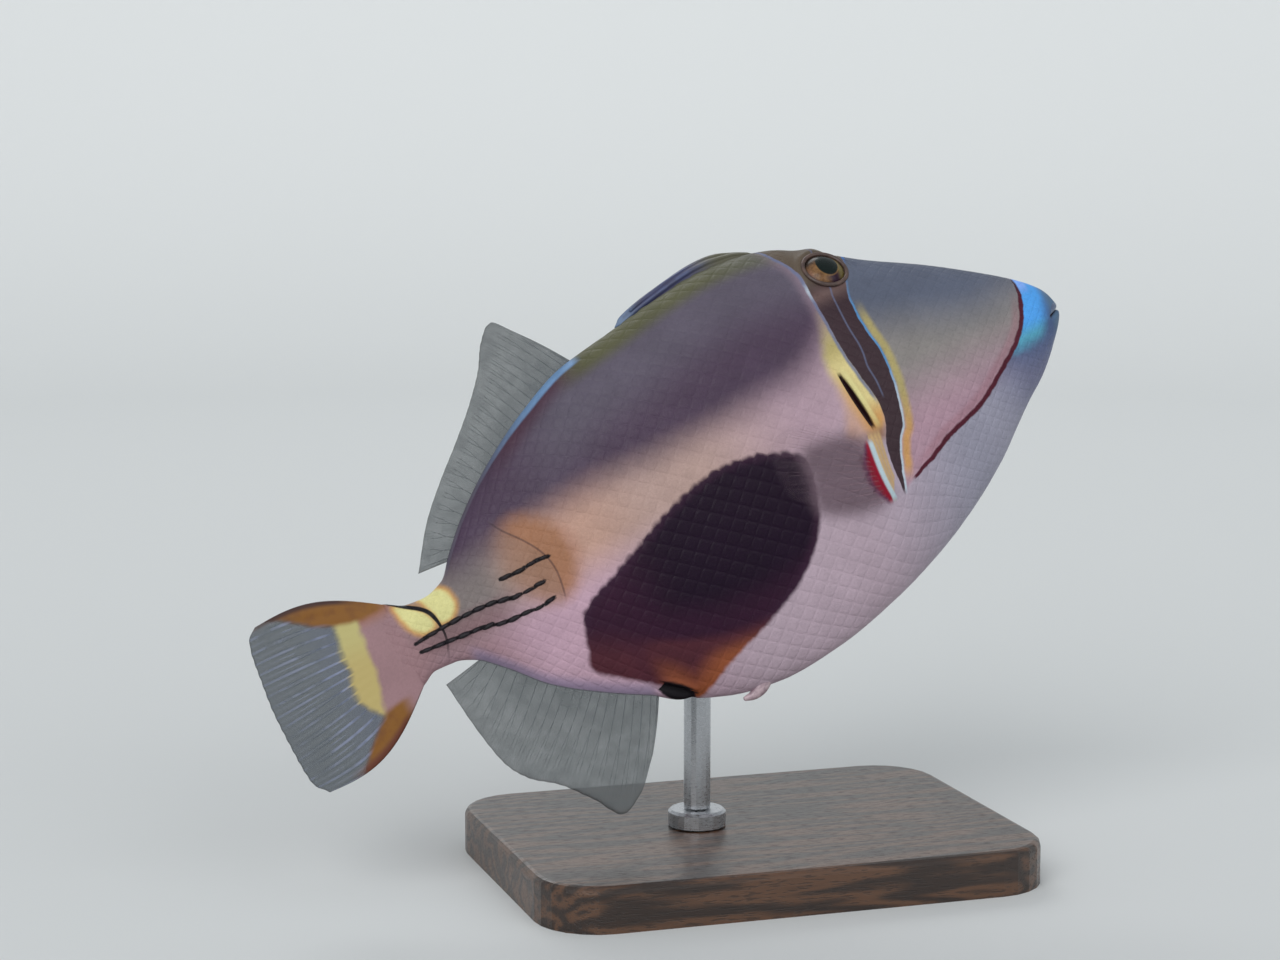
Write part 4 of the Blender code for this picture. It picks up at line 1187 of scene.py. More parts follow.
class Finish:
    """Base of every finish: a Principled material that its own nodes feed."""

    name = "finish"

    def build(self) -> bpy.types.Material:
        """Makes the material."""
        material = bpy.data.materials.new(self.name)
        material.use_nodes = True
        self.dress(Graph(material.node_tree))
        return material

    def dress(self, g: Graph) -> None:
        """Feeds the shader. Each finish has its own."""
        raise NotImplementedError


@dataclass(frozen=True)
class SkinFinish(Finish):
    """Satin skin with its markings, bare or on bony plates."""

    name: str = "skin"
    plates: bool = False
    depth_mm: float = 0.05
    coat: float = 0.04
    coat_rough: float = 0.22
    gloss: float = 0.15

    def dress(self, g: Graph) -> None:
        """Joins the markings, a fine grain and a thin wet coat, on plates with their tones and painted shade
        at their rims, where they sink into the grooves.
        """
        pattern = g.group(SkinPattern.NAME)
        colour, height = pattern["Color"], pattern["Height"]
        if self.plates:
            # Each plate's own tone, darkened 3% at its sunk rim as painted shade in the grooves between
            # plates.
            tone_and_groove_shade = g.times(g["plate_tone"], g.rise(g["plate_rim"], 0.8, 1.0, 1.0, 0.97))
            colour = g.mix(colour, g.grey(tone_and_groove_shade), 1.0, "MULTIPLY")
            height = g.sum(g.rise(g.cells(3200), 0.0, 0.6, 1.0, 0.0), g.times(height, 0.5))
        g.surface(colour=colour, rough=pattern["Roughness"], gloss=self.gloss, coat=self.coat,
                  coat_rough=self.coat_rough)
        g.bump(height, self.depth_mm)


class Skin:
    """One unbroken skin over head, jaws, trunk and tail stalk."""

    ACROSS = 224
    INSET = 0.1
    END_STATION = 171.6
    # Spacing of the rings along the body, by station.
    SPACING = Profile(((0, 0.12), (4, 0.18), (8, 0.4), (36, 0.46), (42, 0.34), (54, 0.32), (56, 0.16),
        (60, 0.16), (63, 0.45), (110, 0.56), (150, 0.42), (END_STATION, 0.34)))

    def stations(self) -> Array:
        """Stations of the rings, closer together where the skin has fine forms."""
        found = [0.06]
        while found[-1] < self.END_STATION:
            found.append(found[-1] + float(self.SPACING(found[-1])))
        return np.array(found[:-1] + [self.END_STATION])

    def build(self) -> bpy.types.Mesh:
        """Bends a grid round the body, closes its seam and poles and gives it its reliefs.

        Returns:
            The skin's mesh, in the fish frame.
        """
        stations = self.stations()
        shrink = np.concatenate([[0.0, 0.35, 0.7], np.ones(len(stations)), [0.7, 0.0]])
        stations = np.concatenate([[stations[0]] * 3, stations, [self.END_STATION] * 2])
        mesh, along, turn = rolled_grid("body_skin", len(stations) - 1, self.ACROSS)
        row = np.rint(along * (len(stations) - 1)).astype(int)
        angle = turn * math.pi
        station = stations[row]
        bare = SHAPE.ring(station, angle)
        fields = MARKINGS.fields(station, bare[:, 2])
        rise = RELIEF.soft(station, bare[:, 2]) + RELIEF.sharp(bare, fields) - self.INSET
        points = SHAPE.surface(station, angle, rise)
        middle = np.stack([-station, np.zeros(len(station)), SHAPE.WIDEST(station)], -1)
        points = middle + (points - middle) * shrink[row][:, None]
        set_points(mesh, points)
        set_fields(mesh, **fields, hole=self.holes(bare, fields))
        set_uv(mesh, *unwrap(station, angle))
        close_mesh(mesh)
        return mesh

    def holes(self, points: Array, f: dict[str, Array]) -> Array:
        """Masks of the openings, where their insides are painted dark as shade: 1 in the dark of each."""
        slit = lens(f["slit_along"], GILL_SLIT_LENGTH)
        dark = ease(-np.abs(f["gill_slit"]) / np.maximum(slit, 0.05), -0.85, -0.55) * (slit > 0)
        vent = lens(f["vent_along"], VENT_LENGTH)
        dark = np.maximum(dark, ease(-np.abs(f["vent"]) / np.maximum(vent, 0.05), -1.7, -1.3) * (vent > 0))
        for middle in RELIEF.nostrils:
            far = np.linalg.norm(points - np.array(middle), axis=1)
            dark = np.maximum(dark, ease(-far, -0.6, -0.35))
        mouth = np.abs(f["height"] - mouth_height(f["station"]))
        dark = np.maximum(dark, ease(-mouth, -0.45, -0.2) * (1 - ease(f["station"], 3.4, 4.4)))
        return dark


class Scales:
    """Diamond-shaped bony plates in rows along a flank."""

    CORNERS = 12
    # Distance from one scale to the next along the body, and from row to row round it.
    LENGTH = Profile(((2, 2.4), (20, 2.9), (45, 3.3), (62, 4.1), (110, 4.3), (135, 3.5), (150, 2.9),
        (172, 2.5)))
    DEPTH = Profile(((2, 1.9), (20, 2.5), (45, 3.0), (62, 3.8), (110, 3.9), (135, 3.2), (150, 2.5),
        (172, 2.3)))
    FIRST = 6.0
    END = 170.2
    LAST = 175.0
    SQUARENESS = 1.1
    GAP = 0.03
    SUNK = 0.3
    RISE = 0.03
    PATCH_SIZE = 0.003

    def __init__(self, side: Side) -> None:
        """Plates of one flank."""
        self.side = side
        self.rng = np.random.default_rng(11 + side.value)

    def form(self) -> Tiles:
        """One plate: a rounded diamond with a sunk foot, a bevelled rim and a low dome."""
        bm = bmesh.new()
        bmesh.ops.create_circle(bm, cap_ends=True, segments=self.CORNERS, radius=1.0)
        for vert in bm.verts:
            vert.co = self.on_rim(vert.co)
        face = bm.faces[:]
        for reach, height in ((0.985, 0.75), (0.9, 0.96), (0.5, 1.0)):
            edges = list({edge for f in face for edge in f.edges})
            made = bmesh.ops.extrude_face_region(bm, geom=face + edges)["geom"]
            face = [f for f in made if isinstance(f, bmesh.types.BMFace)]
            for vert in {v for f in face for v in f.verts}:
                rim = self.on_rim(vert.co)
                vert.co = Vector((rim.x * reach, rim.y * reach, height))
        bmesh.ops.poke(bm, faces=face)
        bmesh.ops.recalc_face_normals(bm, faces=bm.faces)
        return Tiles(bm)

    def on_rim(self, place: Vector) -> Vector:
        """Point of the rounded diamond in the direction of a place."""
        angle = math.atan2(place.y, place.x)
        c, s = math.cos(angle), math.sin(angle)
        power = self.SQUARENESS
        return Vector((c, s, 0.0)) * (abs(c) ** power + abs(s) ** power) ** (-1 / power)

    def places(self) -> tuple[Array, Array]:
        """Stations and row numbers of the plates' middles."""
        columns = [self.FIRST]
        while columns[-1] < self.LAST - 3:
            columns.append(columns[-1] + float(self.LENGTH(columns[-1])) / 2)
        found = []
        for i, station in enumerate(columns):
            low, high = GIRTH.limits(np.array(min(station, SHAPE.END)))
            half = float(self.DEPTH(station)) / 2
            for j in range(math.ceil(low / half), math.floor(high / half) + 1):
                inside = j * half - low > 0.35 * half and high - j * half > 0.35 * half
                if (i + j) % 2 == 0 and inside and station < self.END:
                    found.append((station, j))
        return np.array([f[0] for f in found]), np.array([f[1] for f in found])

    def build(self) -> bpy.types.Mesh:
        """Lays the plates on the flank.

        Returns:
            The joined plates, in the fish frame.
        """
        form = self.form()
        station, row = self.places()
        centre_arc = row * self.DEPTH(station) / 2
        angle = GIRTH.angle_at(station, centre_arc) * self.side.value
        middle = SHAPE.ring(station, angle)
        keep = self.clear(middle, MARKINGS.fields(station, middle[:, 2]))
        station, row, middle, angle = station[keep], row[keep], middle[keep], angle[keep]
        length = self.LENGTH(station) / 2 - self.GAP
        depth = self.DEPTH(station) / 2 - self.GAP
        local = form.points
        s = station[:, None] + length[:, None] * local[:, 0]
        arc = row[:, None] * self.DEPTH(s) / 2 + depth[:, None] * local[:, 1]
        low, high = GIRTH.limits(np.minimum(s, SHAPE.END))
        arc = np.clip(arc, low + 0.06, high - 0.06)
        turned = GIRTH.angle_at(s, arc) * self.side.value
        bare = SHAPE.ring(s, turned)
        lift = self.RISE * self.rng.uniform(0.8, 1.2, len(station))[:, None]
        tip = self.rng.uniform(-0.01, 0.025, len(station))[:, None] * local[:, 0]
        out = -self.SUNK + (self.SUNK + lift) * local[:, 2] + tip - Skin.INSET
        out = out + RELIEF.soft(s.ravel(), bare[..., 2].ravel()).reshape(s.shape)
        points = SHAPE.surface(s, turned, out)
        mesh = form.join("scales", points)
        if self.side is Side.RIGHT:
            mesh.flip_normals()
        self.dress(mesh, s, bare[..., 2], station, middle, local, angle)
        return mesh

    def clear(self, middle: Array, f: dict[str, Array]) -> Array:
        """Which plates are clear of the eye, the gill slit, the fins' bases, the vent and the mouth."""
        keep = RELIEF.from_eye(middle) > 7.0
        keep &= np.abs(RELIEF.sharp(middle, f)) < 0.12
        keep &= ~((np.abs(f["gill_slit"]) < 3.0) & (lens(f["slit_along"] + 1, GILL_SLIT_LENGTH + 2) > 0))
        keep &= ~((np.abs(f["fin_base"]) < 3.0) & (lens(f["base_along"], PECTORAL_LENGTH) > 0))
        keep &= ~((f["under_back"] < 1.4) & (f["station"] > 105) & (f["station"] < 154))
        keep &= ~((f["over_belly"] < 1.4) & (f["station"] > 122) & (f["station"] < 157))
        return keep

    def dress(self, mesh: bpy.types.Mesh, s: Array, z: Array, station: Array, middle: Array,
              local: Array, angle: Array) -> None:
        """Gives the plates their markings, tones, the rim mask for the painted shade in the grooves, and bake
        map.
        """
        fields = MARKINGS.fields(s.ravel(), z.ravel())
        own = np.repeat(MARKINGS.BELLY_PATCH.inside(station, middle[:, 2]), len(local))
        share = 0.12 * ease(z.ravel(), -22, -12)
        fields["belly_patch"] = own * share + fields["belly_patch"] * (1 - share)
        tone = self.rng.normal(1.0, 0.012, len(station))
        rim = 1.0 - (local[:, 2] - local[:, 2].min()) / np.ptp(local[:, 2])
        set_fields(mesh, **fields, hole=np.zeros(s.size),
                   plate_tone=np.repeat(np.clip(tone, 0.9, 1.1), len(local)),
                   plate_rim=np.tile(np.clip(rim * 2.6, 0, 1), len(station)))
        u, v = unwrap(station, angle)
        reach = self.PATCH_SIZE / 2
        set_uv(mesh, (u[:, None] + reach * local[:, 0]).ravel(), (v[:, None] + reach * local[:, 1]).ravel())


def rolled_grid(name: str, columns: int, turns: int) -> tuple[bpy.types.Mesh, Array, Array]:
    """Grid to be wrapped into a closed form.

    Args:
        name: the mesh's name.
        columns: steps along the form.
        turns: steps round it.

    Returns:
        The mesh, and for each point its place along from 0 to 1 and round from -1 to 1.
    """
    bm = bmesh.new()
    bmesh.ops.create_grid(bm, x_segments=columns, y_segments=turns, size=1.0)
    mesh = new_mesh(name, bm)
    points = get_points(mesh)
    return mesh, (points[:, 0] + 1) / 2, points[:, 1]


def close_mesh(mesh: bpy.types.Mesh) -> None:
    """Merges points that meet and turns the faces outwards."""
    bm = bmesh.new()
    bm.from_mesh(mesh)
    bmesh.ops.remove_doubles(bm, verts=bm.verts, dist=SEAM_GAP)
    bmesh.ops.recalc_face_normals(bm, faces=bm.faces)
    bm.to_mesh(mesh)
    bm.free()


@dataclass(frozen=True)
class RayPlan:
    """How a fin's rays run and split."""

    count: int
    root_radius: float
    start: float = -0.03
    first_fork: float = 0.42
    second_fork: float = 0.72
    end: float = 0.985


class Fin:
    """Thin closed web with branched rays, spread from a root to a row of tips."""

    name = "fin"
    nodes: tuple[str, ...] = ()
    rays = RayPlan(12, 0.3)
    root_half = 0.7
    web_half = 0.1
    columns = 144
    levels = 40
    slack = 0.05
    notch = 0.004
    sides = 6
    SAMPLES = 9

    def spread(self, share: Array, level: Array) -> Array:
        """Points of the fin's middle sheet, by share along the root and level towards the tips."""
        raise NotImplementedError

    def across(self, share: Array, level: Array) -> Array:
        """Direction of the fin's thickness."""
        return SIDEWAYS

    def half(self, share: Array, level: Array) -> Array:
        """Half thickness of the web."""
        return self.web_half + (self.root_half - self.web_half) * (1 - np.clip(level, 0, 1)) ** 3

    def web(self) -> bpy.types.Mesh:
        """Makes the web: a closed sheet, thicker at the root and wavy between the rays.

        Returns:
            The web's mesh, in the fish frame.
        """
        mesh, share, turn = rolled_grid(self.name + "_web", self.columns, 2 * self.levels)
        level = 1 - np.abs(turn)
        beat = share * (self.rays.count - 1)
        notch = 0.5 - 0.5 * np.cos(2 * math.pi * beat)
        reach = level * (1 - self.notch * notch * level**4)
        edge = np.minimum(share, 1 - share) * self.columns / 2
        half = self.half(share, level) * np.sqrt(np.clip(edge, 0, 1))
        half = np.where(level < 1e-6, 0.0, half * np.sqrt(np.clip((1 - level) * 20, 0, 1)))
        wave = self.slack * np.sin(2 * math.pi * beat) * ease(level, 0.1, 0.8)
        offset = np.sign(turn) * half + wave * np.clip(edge / 3, 0, 1)
        points = self.spread(share, reach) + self.across(share, reach) * offset[:, None]
        set_points(mesh, points)
        set_fields(mesh, **MARKINGS.fields(-points[:, 0], points[:, 2]), hole=np.zeros(len(points)),
                   share=share, level=level)
        close_mesh(mesh)
        return mesh

    def ray_paths(self) -> tuple[Array, Array, Array]:
        """Shares, levels and radii along every ray and its branches."""
        plan = self.rays
        u = np.linspace(0, 1, self.SAMPLES)
        step = 1 / (plan.count - 1)
        shares, levels, radii = [], [], []
        for k in range(plan.count):
            stem = np.clip(k * step, 0.012, 0.988)
            lone = k in (0, plan.count - 1)
            stem_end = plan.end if lone else plan.first_fork
            shares.append(np.full(self.SAMPLES, stem))
            levels.append(plan.start + (stem_end - plan.start) * u)
            radii.append(plan.root_radius * (1 - (0.85 if lone else 0.45) * u))
            if lone:
                continue
            for fork in (-1, 1):
                middle = stem + fork * 0.17 * step
                shares.append(stem + fork * 0.17 * step * ease(u, 0, 1))
                levels.append(plan.first_fork - 0.02 + (plan.second_fork - plan.first_fork + 0.02) * u)
                radii.append(plan.root_radius * (0.5 - 0.16 * u))
                for twig in (-1, 1):
                    shares.append(middle + twig * 0.1 * step * ease(u, 0, 1))
                    levels.append(plan.second_fork - 0.02 + (plan.end - plan.second_fork + 0.02) * u)
                    radii.append(plan.root_radius * (0.32 - 0.2 * u))
        return np.array(shares), np.array(levels), np.array(radii)

    def ray_mesh(self) -> bpy.types.Mesh:
        """Makes the rays, each split twice on its way to the margin.

        Returns:
            The joined rays, in the fish frame.
        """
        share, level, radius = self.ray_paths()
        paths = self.spread(share, level)
        wave = self.slack * np.sin(2 * math.pi * share * (self.rays.count - 1)) * ease(level, 0.1, 0.8)
        across = self.across(share, level)
        tubes = Tubes(self.SAMPLES - 1, self.sides)
        mesh = tubes.sweep(self.name + "_rays", paths + across * wave[..., None], radius, across)
        points = get_points(mesh)
        place = tubes.tiles.points[:, 0] * (self.SAMPLES - 1)
        k = np.minimum(place.astype(int), self.SAMPLES - 2)
        along = level[:, k] * (1 - (place - k)) + level[:, k + 1] * (place - k)
        set_fields(mesh, **MARKINGS.fields(-points[:, 0], points[:, 2]), hole=np.zeros(len(points)),
                   reach=along.ravel())
        return mesh

    def build(self, show: Showroom, web: bpy.types.Material, rays: bpy.types.Material) -> None:
        """Adds the web and the rays to the model."""
        show.add(self.name + "_web", self.web(), web, Slot.FIN, self.nodes)
        show.add(self.name + "_rays", self.ray_mesh(), rays, Slot.FIN)


class MedianFin(Fin):
    """Fin on the body's middle line."""

    def __init__(self, name: str, root: Pair, edge: Profile, sunk: float, tips: Sequence[tuple],
                 rays: RayPlan) -> None:
        """Keeps the fin's outline.

        Args:
            name: the node that it replaces.
            root: stations of its first and last ray's root.
            edge: height of the body's edge there.
            sunk: how far the root lies inside the body.
            tips: (share, station, height) of the ray tips.
            rays: how its rays run.
        """
        self.name, self.nodes, self.rays = name, (name,), rays
        self.root, self.edge, self.sunk = root, edge, sunk
        self.tip_station, self.tip_height = curves(tips)

    def spread(self, share: Array, level: Array) -> Array:
        """Straight rays from the body's edge to the tips, a little swept back."""
        station = self.root[0] + (self.root[1] - self.root[0]) * share
        height = self.edge(station)
        tip_s, tip_z = self.tip_station(share), self.tip_height(share)
        length = np.hypot(tip_s - station, tip_z - height)
        level = level + (level - 1) * self.sunk / np.maximum(length, 1.0)
        sweep = 0.02 * length * np.sin(math.pi * np.clip(level, 0, 1))
        station_here = station + (tip_s - station) * level - sweep
        return np.stack([-station_here, np.zeros_like(share), height + (tip_z - height) * level], -1)


class TailFin(Fin):
    """Tail fin, fleshy at its root where it carries on from the tail stalk."""

    name = "tail_fin"
    nodes = ("tail_fin",)
    rays = RayPlan(17, 0.14, start=0.36, first_fork=0.5, second_fork=0.72)
    columns = 160
    levels = 56
    root_station = 168.0
    bow_upper = 3.3
    bow_lower = 4.3
    tips = ((0.0, 195.2, 18.2), (0.05, 197.3, 16.6), (0.12, 198.4, 13.4), (0.25, 199.0, 8.5),
        (0.5, 199.8, -1.5), (0.75, 199.6, -11.5), (0.9, 199.0, -17.2), (1.0, 196.5, -20.5))
    flesh = Profile(((0.0, 1.85), (0.1, 1.5), (0.22, 1.0), (0.4, 0.5), (0.7, 0.24), (1.0, 0.14)))

    def __init__(self) -> None:
        """Fits curves through the ray tips."""
        self.tip_station, self.tip_height = curves(self.tips)

    def spread(self, share: Array, level: Array) -> Array:
        """Rays that fan from inside the stalk, the outer ones bowed outwards."""
        top, bottom = SHAPE.BACK(self.root_station) - 0.25, SHAPE.BELLY(self.root_station) + 0.25
        height = top + (bottom - top) * share
        edge = 2 * share - 1
        bow = -edge * np.abs(edge) * np.where(edge < 0, self.bow_upper, self.bow_lower)
        station = self.root_station + (self.tip_station(share) - self.root_station) * level
        rise = height + (self.tip_height(share) - height) * level
        rise = rise + bow * np.sin(math.pi * np.clip(level, 0, 1))
        return np.stack([-station, np.zeros_like(share), rise], -1)

    def half(self, share: Array, level: Array) -> Array:
        """Fleshy root, thinner towards the upper and lower edges."""
        edge = np.abs(2 * share - 1)
        return self.flesh(level) * (1 - 0.45 * edge**2)


class PectoralFin(Fin):
    """Paired fin that lies back along the flank, a little way off it."""

    rays = RayPlan(13, 0.12, first_fork=0.5, second_fork=0.78)
    root_half = 0.4
    web_half = 0.07
    columns = 104
    levels = 32
    slack = 0.04
    root = ((60.6, -5.5), (60.2, -18.5))
    tips = ((0.0, 72.5, 4.6), (0.15, 77.2, 4.4), (0.3, 80.8, 2.2), (0.5, 82.4, -3.0), (0.7, 82.0, -8.2),
        (0.85, 77.5, -12.6), (1.0, 71.0, -17.0))
    off_flank = Profile(((0.0, -0.6), (0.09, 1.4), (0.3, 2.6), (0.55, 3.4), (0.8, 4.0), (1.0, 4.4)))

    def __init__(self, side: Side) -> None:
        """Fits curves through the ray tips.

        Args:
            side: the flank that the fin is on.
        """
        self.side = side
        self.name = "pectoral_fin_" + side.name.lower()
        self.nodes = (self.name,)
        self.tip_station, self.tip_height = curves(self.tips)

    def place(self, share: Array, level: Array) -> tuple[Array, Array]:
        """Station and height of points of the fin."""
        (top_s, top_z), (low_s, low_z) = self.root
        station = top_s + (low_s - top_s) * share
        height = top_z + (low_z - top_z) * share
        return (station + (self.tip_station(share) - station) * level,
                height + (self.tip_height(share) - height) * level)

    def spread(self, share: Array, level: Array) -> Array:
        """Rays that leave the flank and follow its curve."""
        station, height = self.place(share, level)
        return SHAPE.flank(station, height, self.side.value, self.off_flank(level))

    def across(self, share: Array, level: Array) -> Array:
        """Outward from the flank."""
        station, height = self.place(share, level)
        return SHAPE.normal(station, SHAPE.angle_at(station, height, self.side.value))


class FoldedDorsal:
    """First dorsal fin folded into its groove: a pleated blade with its spines lying back."""

    plan = ((57.6, 0.4, 0.1), (60, 1.3, 0.8), (64, 1.8, 1.7), (70, 1.9, 2.3), (78, 1.6, 2.2),
        (86, 1.2, 1.9), (92, 0.8, 1.4), (94.5, 0.4, 0.4))
    depth = 1.6
    end_depth = 0.3
    columns = 150
    turns = 60
    # Root station, tip station, sideways shift, root radius, tip radius.
    spines = ((61.0, 82.0, 0.0, 1.45, 0.6), (67.0, 86.0, 0.8, 0.95, 0.5), (71.0, 90.0, -0.8, 0.85, 0.45))
    lift = 0.75
    samples = 17

    def __init__(self) -> None:
        """Fits curves through the plan."""
        self.width, self.rise = curves(self.plan)

    def blade(self) -> bpy.types.Mesh:
        """Makes the folded web, pleated along its length.

        Returns:
            The blade's mesh, in the fish frame.
        """
        mesh, along, turn = rolled_grid("first_dorsal_blade", self.columns, self.turns)
        station = self.plan[0][0] + (self.plan[-1][0] - self.plan[0][0]) * along
        rise = self.rise(station)
        ends = np.sqrt(np.clip(np.minimum(along, 1 - along) * 25, 0, 1))
        depth = self.end_depth + (self.depth - self.end_depth) * ease(np.minimum(along, 1 - along), 0, 0.06)
        angle = turn * math.pi
        fold = np.cos(7 * angle + station * 0.12)
        pleat = 1 + 0.1 * fold * ends
        half = (rise + depth) / 2
        wide = self.width(station) * ends * pleat
        y = wide * np.sin(angle)
        z = SHAPE.BACK(station) + (rise - depth) / 2 + half * np.cos(angle) * ends * (0.94 + 0.06 * pleat)
        set_points(mesh, np.stack([-station, y, z], -1))
        set_fields(mesh, station=station, fold=fold)
        close_mesh(mesh)
        return mesh

    def spine_mesh(self) -> bpy.types.Mesh:
        """Makes the three spines, the first one the stoutest.

        Returns:
            The joined spines, in the fish frame.
        """
        u = np.linspace(0, 1, self.samples)
        paths, radii = [], []
        for root, tip, shift, root_radius, tip_radius in self.spines:
            station = root + (tip - root) * u
            sunk = self.lift + (self.depth - self.lift) * (1 - ease(u, 0.0, 0.3))
            height = SHAPE.BACK(station) + self.rise(station) - sunk
            paths.append(np.stack([-station, shift * u, height], -1))
            radii.append(root_radius + (tip_radius - root_radius) * u)
        mesh = Tubes(64, 16).sweep("first_dorsal_spines", np.array(paths), np.array(radii), SIDEWAYS)
        set_fields(mesh, station=-get_points(mesh)[:, 0])
        return mesh

    def build(self, show: Showroom, material: bpy.types.Material) -> None:
        """Adds the blade and its spines to the model."""
        show.add("first_dorsal_blade", self.blade(), material, Slot.FIN, ("first_dorsal_fin",))
        show.add("first_dorsal_spines", self.spine_mesh(), material, Slot.FIN)


class Eyes:
    """Eyeballs with their irises, and the fleshy rings round them."""

    COLUMNS = 72
    ROWS = 48
    RING_SIDES = 20
    RING_STEPS = 96

    def ball(self, side: Side) -> bpy.types.Mesh:
        """Makes one flattened eyeball.

        Args:
            side: the flank that it is on.

        Returns:
            The eyeball's mesh, in the fish frame.
        """
        bm = bmesh.new()
        bmesh.ops.create_uvsphere(bm, u_segments=self.COLUMNS, v_segments=self.ROWS, radius=1.0)
        bmesh.ops.scale(bm, vec=(EYE.radius, EYE.radius, EYE.depth), verts=bm.verts)
        mesh = new_mesh("eye_" + side.name.lower(), bm)
        local, place = get_points(mesh), np.array(EYE.frame(side))
        flat = local[:, :2] @ place[:3, :2].T
        set_points(mesh, local @ place[:3, :3].T + place[:3, 3])
        set_fields(mesh, iris_back=-flat[:, 0], iris_up=flat[:, 2])
        return mesh

    def ring(self, side: Side) -> bpy.types.Mesh:
        """Makes the soft ring of skin round one eye.

        Args:
            side: the flank that it is on.

        Returns:
            The ring's mesh, in the fish frame.
        """
        bm = bmesh.new()
        bmesh.ops.create_circle(bm, segments=self.RING_SIDES, radius=EYE.ring_thickness)
        bmesh.ops.rotate(bm, cent=(0, 0, 0), matrix=Matrix.Rotation(math.pi / 2, 3, "X"), verts=bm.verts)
        bmesh.ops.translate(bm, vec=(EYE.ring_radius, 0, EYE.sunk + 0.1), verts=bm.verts)
        bmesh.ops.spin(bm, geom=bm.verts[:] + bm.edges[:], cent=(0, 0, 0), axis=(0, 0, 1),
                       angle=math.tau, steps=self.RING_STEPS, use_merge=True)
        bmesh.ops.recalc_face_normals(bm, faces=bm.faces)
        bmesh.ops.transform(bm, matrix=EYE.frame(side), verts=bm.verts)
        return new_mesh("eye_ring_" + side.name.lower(), bm)

    def build(self, show: Showroom, ball: bpy.types.Material, ring: bpy.types.Material) -> None:
        """Adds both eyes to the model."""
        for side in Side:
            node = "eye_" + side.name.lower()
            show.add(node, self.ball(side), ball, Slot.EYE, (node,))
            show.add(node + "_ring", self.ring(side), ring, Slot.EYE)


class Mouth:
    """Lips round both jaws and the front teeth between them."""

    plan = ((4.5, 5.3), (3.6, 5.1), (2.6, 4.5), (1.8, 3.6), (1.3, 2.4), (1.1, 0.9))
    radius = 1.15
    corner = 0.45
    offset = 0.88
    # Height at the snout, fall for each millimetre back, and how far back the lip lies.
    upper = (4.5, 0.5, 0.1)
    lower = (3.5, 0.3, 1.35)
    # Sideways place, station and half width of the teeth of one side.
    teeth = ((0.62, 1.35, 0.56), (1.78, 1.55, 0.52), (2.85, 2.05, 0.45))

    def lips(self) -> bpy.types.Mesh:
        """Makes both lips.

        Returns:
            The joined lips, in the fish frame.
        """
        plan = np.array(list(self.plan) + [(s, -y) for s, y in reversed(self.plan)], float)
        path = smooth_path([tuple(p) for p in plan], closed=False, per_span=4)
        level = np.linspace(-1, 1, len(path))
        radius = self.radius + (self.corner - self.radius) * np.abs(level) ** 2
        paths = []
        for (height, fall, back), up in ((self.upper, 1), (self.lower, -1)):
            z = height - fall * path[:, 0] + self.offset * up
            paths.append(np.stack([-path[:, 0] - back, path[:, 1] * (1 - 0.04 * back), z], -1))
        upward = np.array([0.0, 0.0, 1.0])
        return Tubes(120, 24).sweep("lips", np.array(paths), np.array([radius, radius]), upward)

    def tooth_mesh(self) -> bpy.types.Mesh:
        """Makes the chisel-shaped front teeth.

        Returns:
            The joined teeth, in the fish frame.
        """
        bm = bmesh.new()
        bmesh.ops.create_cube(bm, size=2.0)
        bmesh.ops.bevel(bm, geom=bm.edges[:], offset=0.5, offset_type="OFFSET", affect="EDGES", segments=3,
                        profile=0.5, material=-1, clamp_overlap=True)
        form = Tiles(bm)
        copies = []
        for (height, fall, back), up in ((self.upper, 1), (self.lower, -1)):
            for y, station, half in self.teeth:
                for side in (1, -1):
                    edge = height - fall * station
                    p = form.points
                    thin = 0.42 * (1 + 0.35 * p[:, 2] * up)
                    x = -station - 0.15 - back + p[:, 0] * thin
                    z = edge + up * 0.35 + p[:, 2] * 0.75
                    copies.append(np.stack([x, side * y + p[:, 1] * half, z], -1))
        return form.join("teeth", np.array(copies))

    def build(self, show: Showroom, lips: bpy.types.Material, teeth: bpy.types.Material) -> None:
        """Adds the lips and teeth to the model."""
        show.add("lips", self.lips(), lips, Slot.LIPS)
        show.add("teeth", self.tooth_mesh(), teeth, Slot.LIPS)


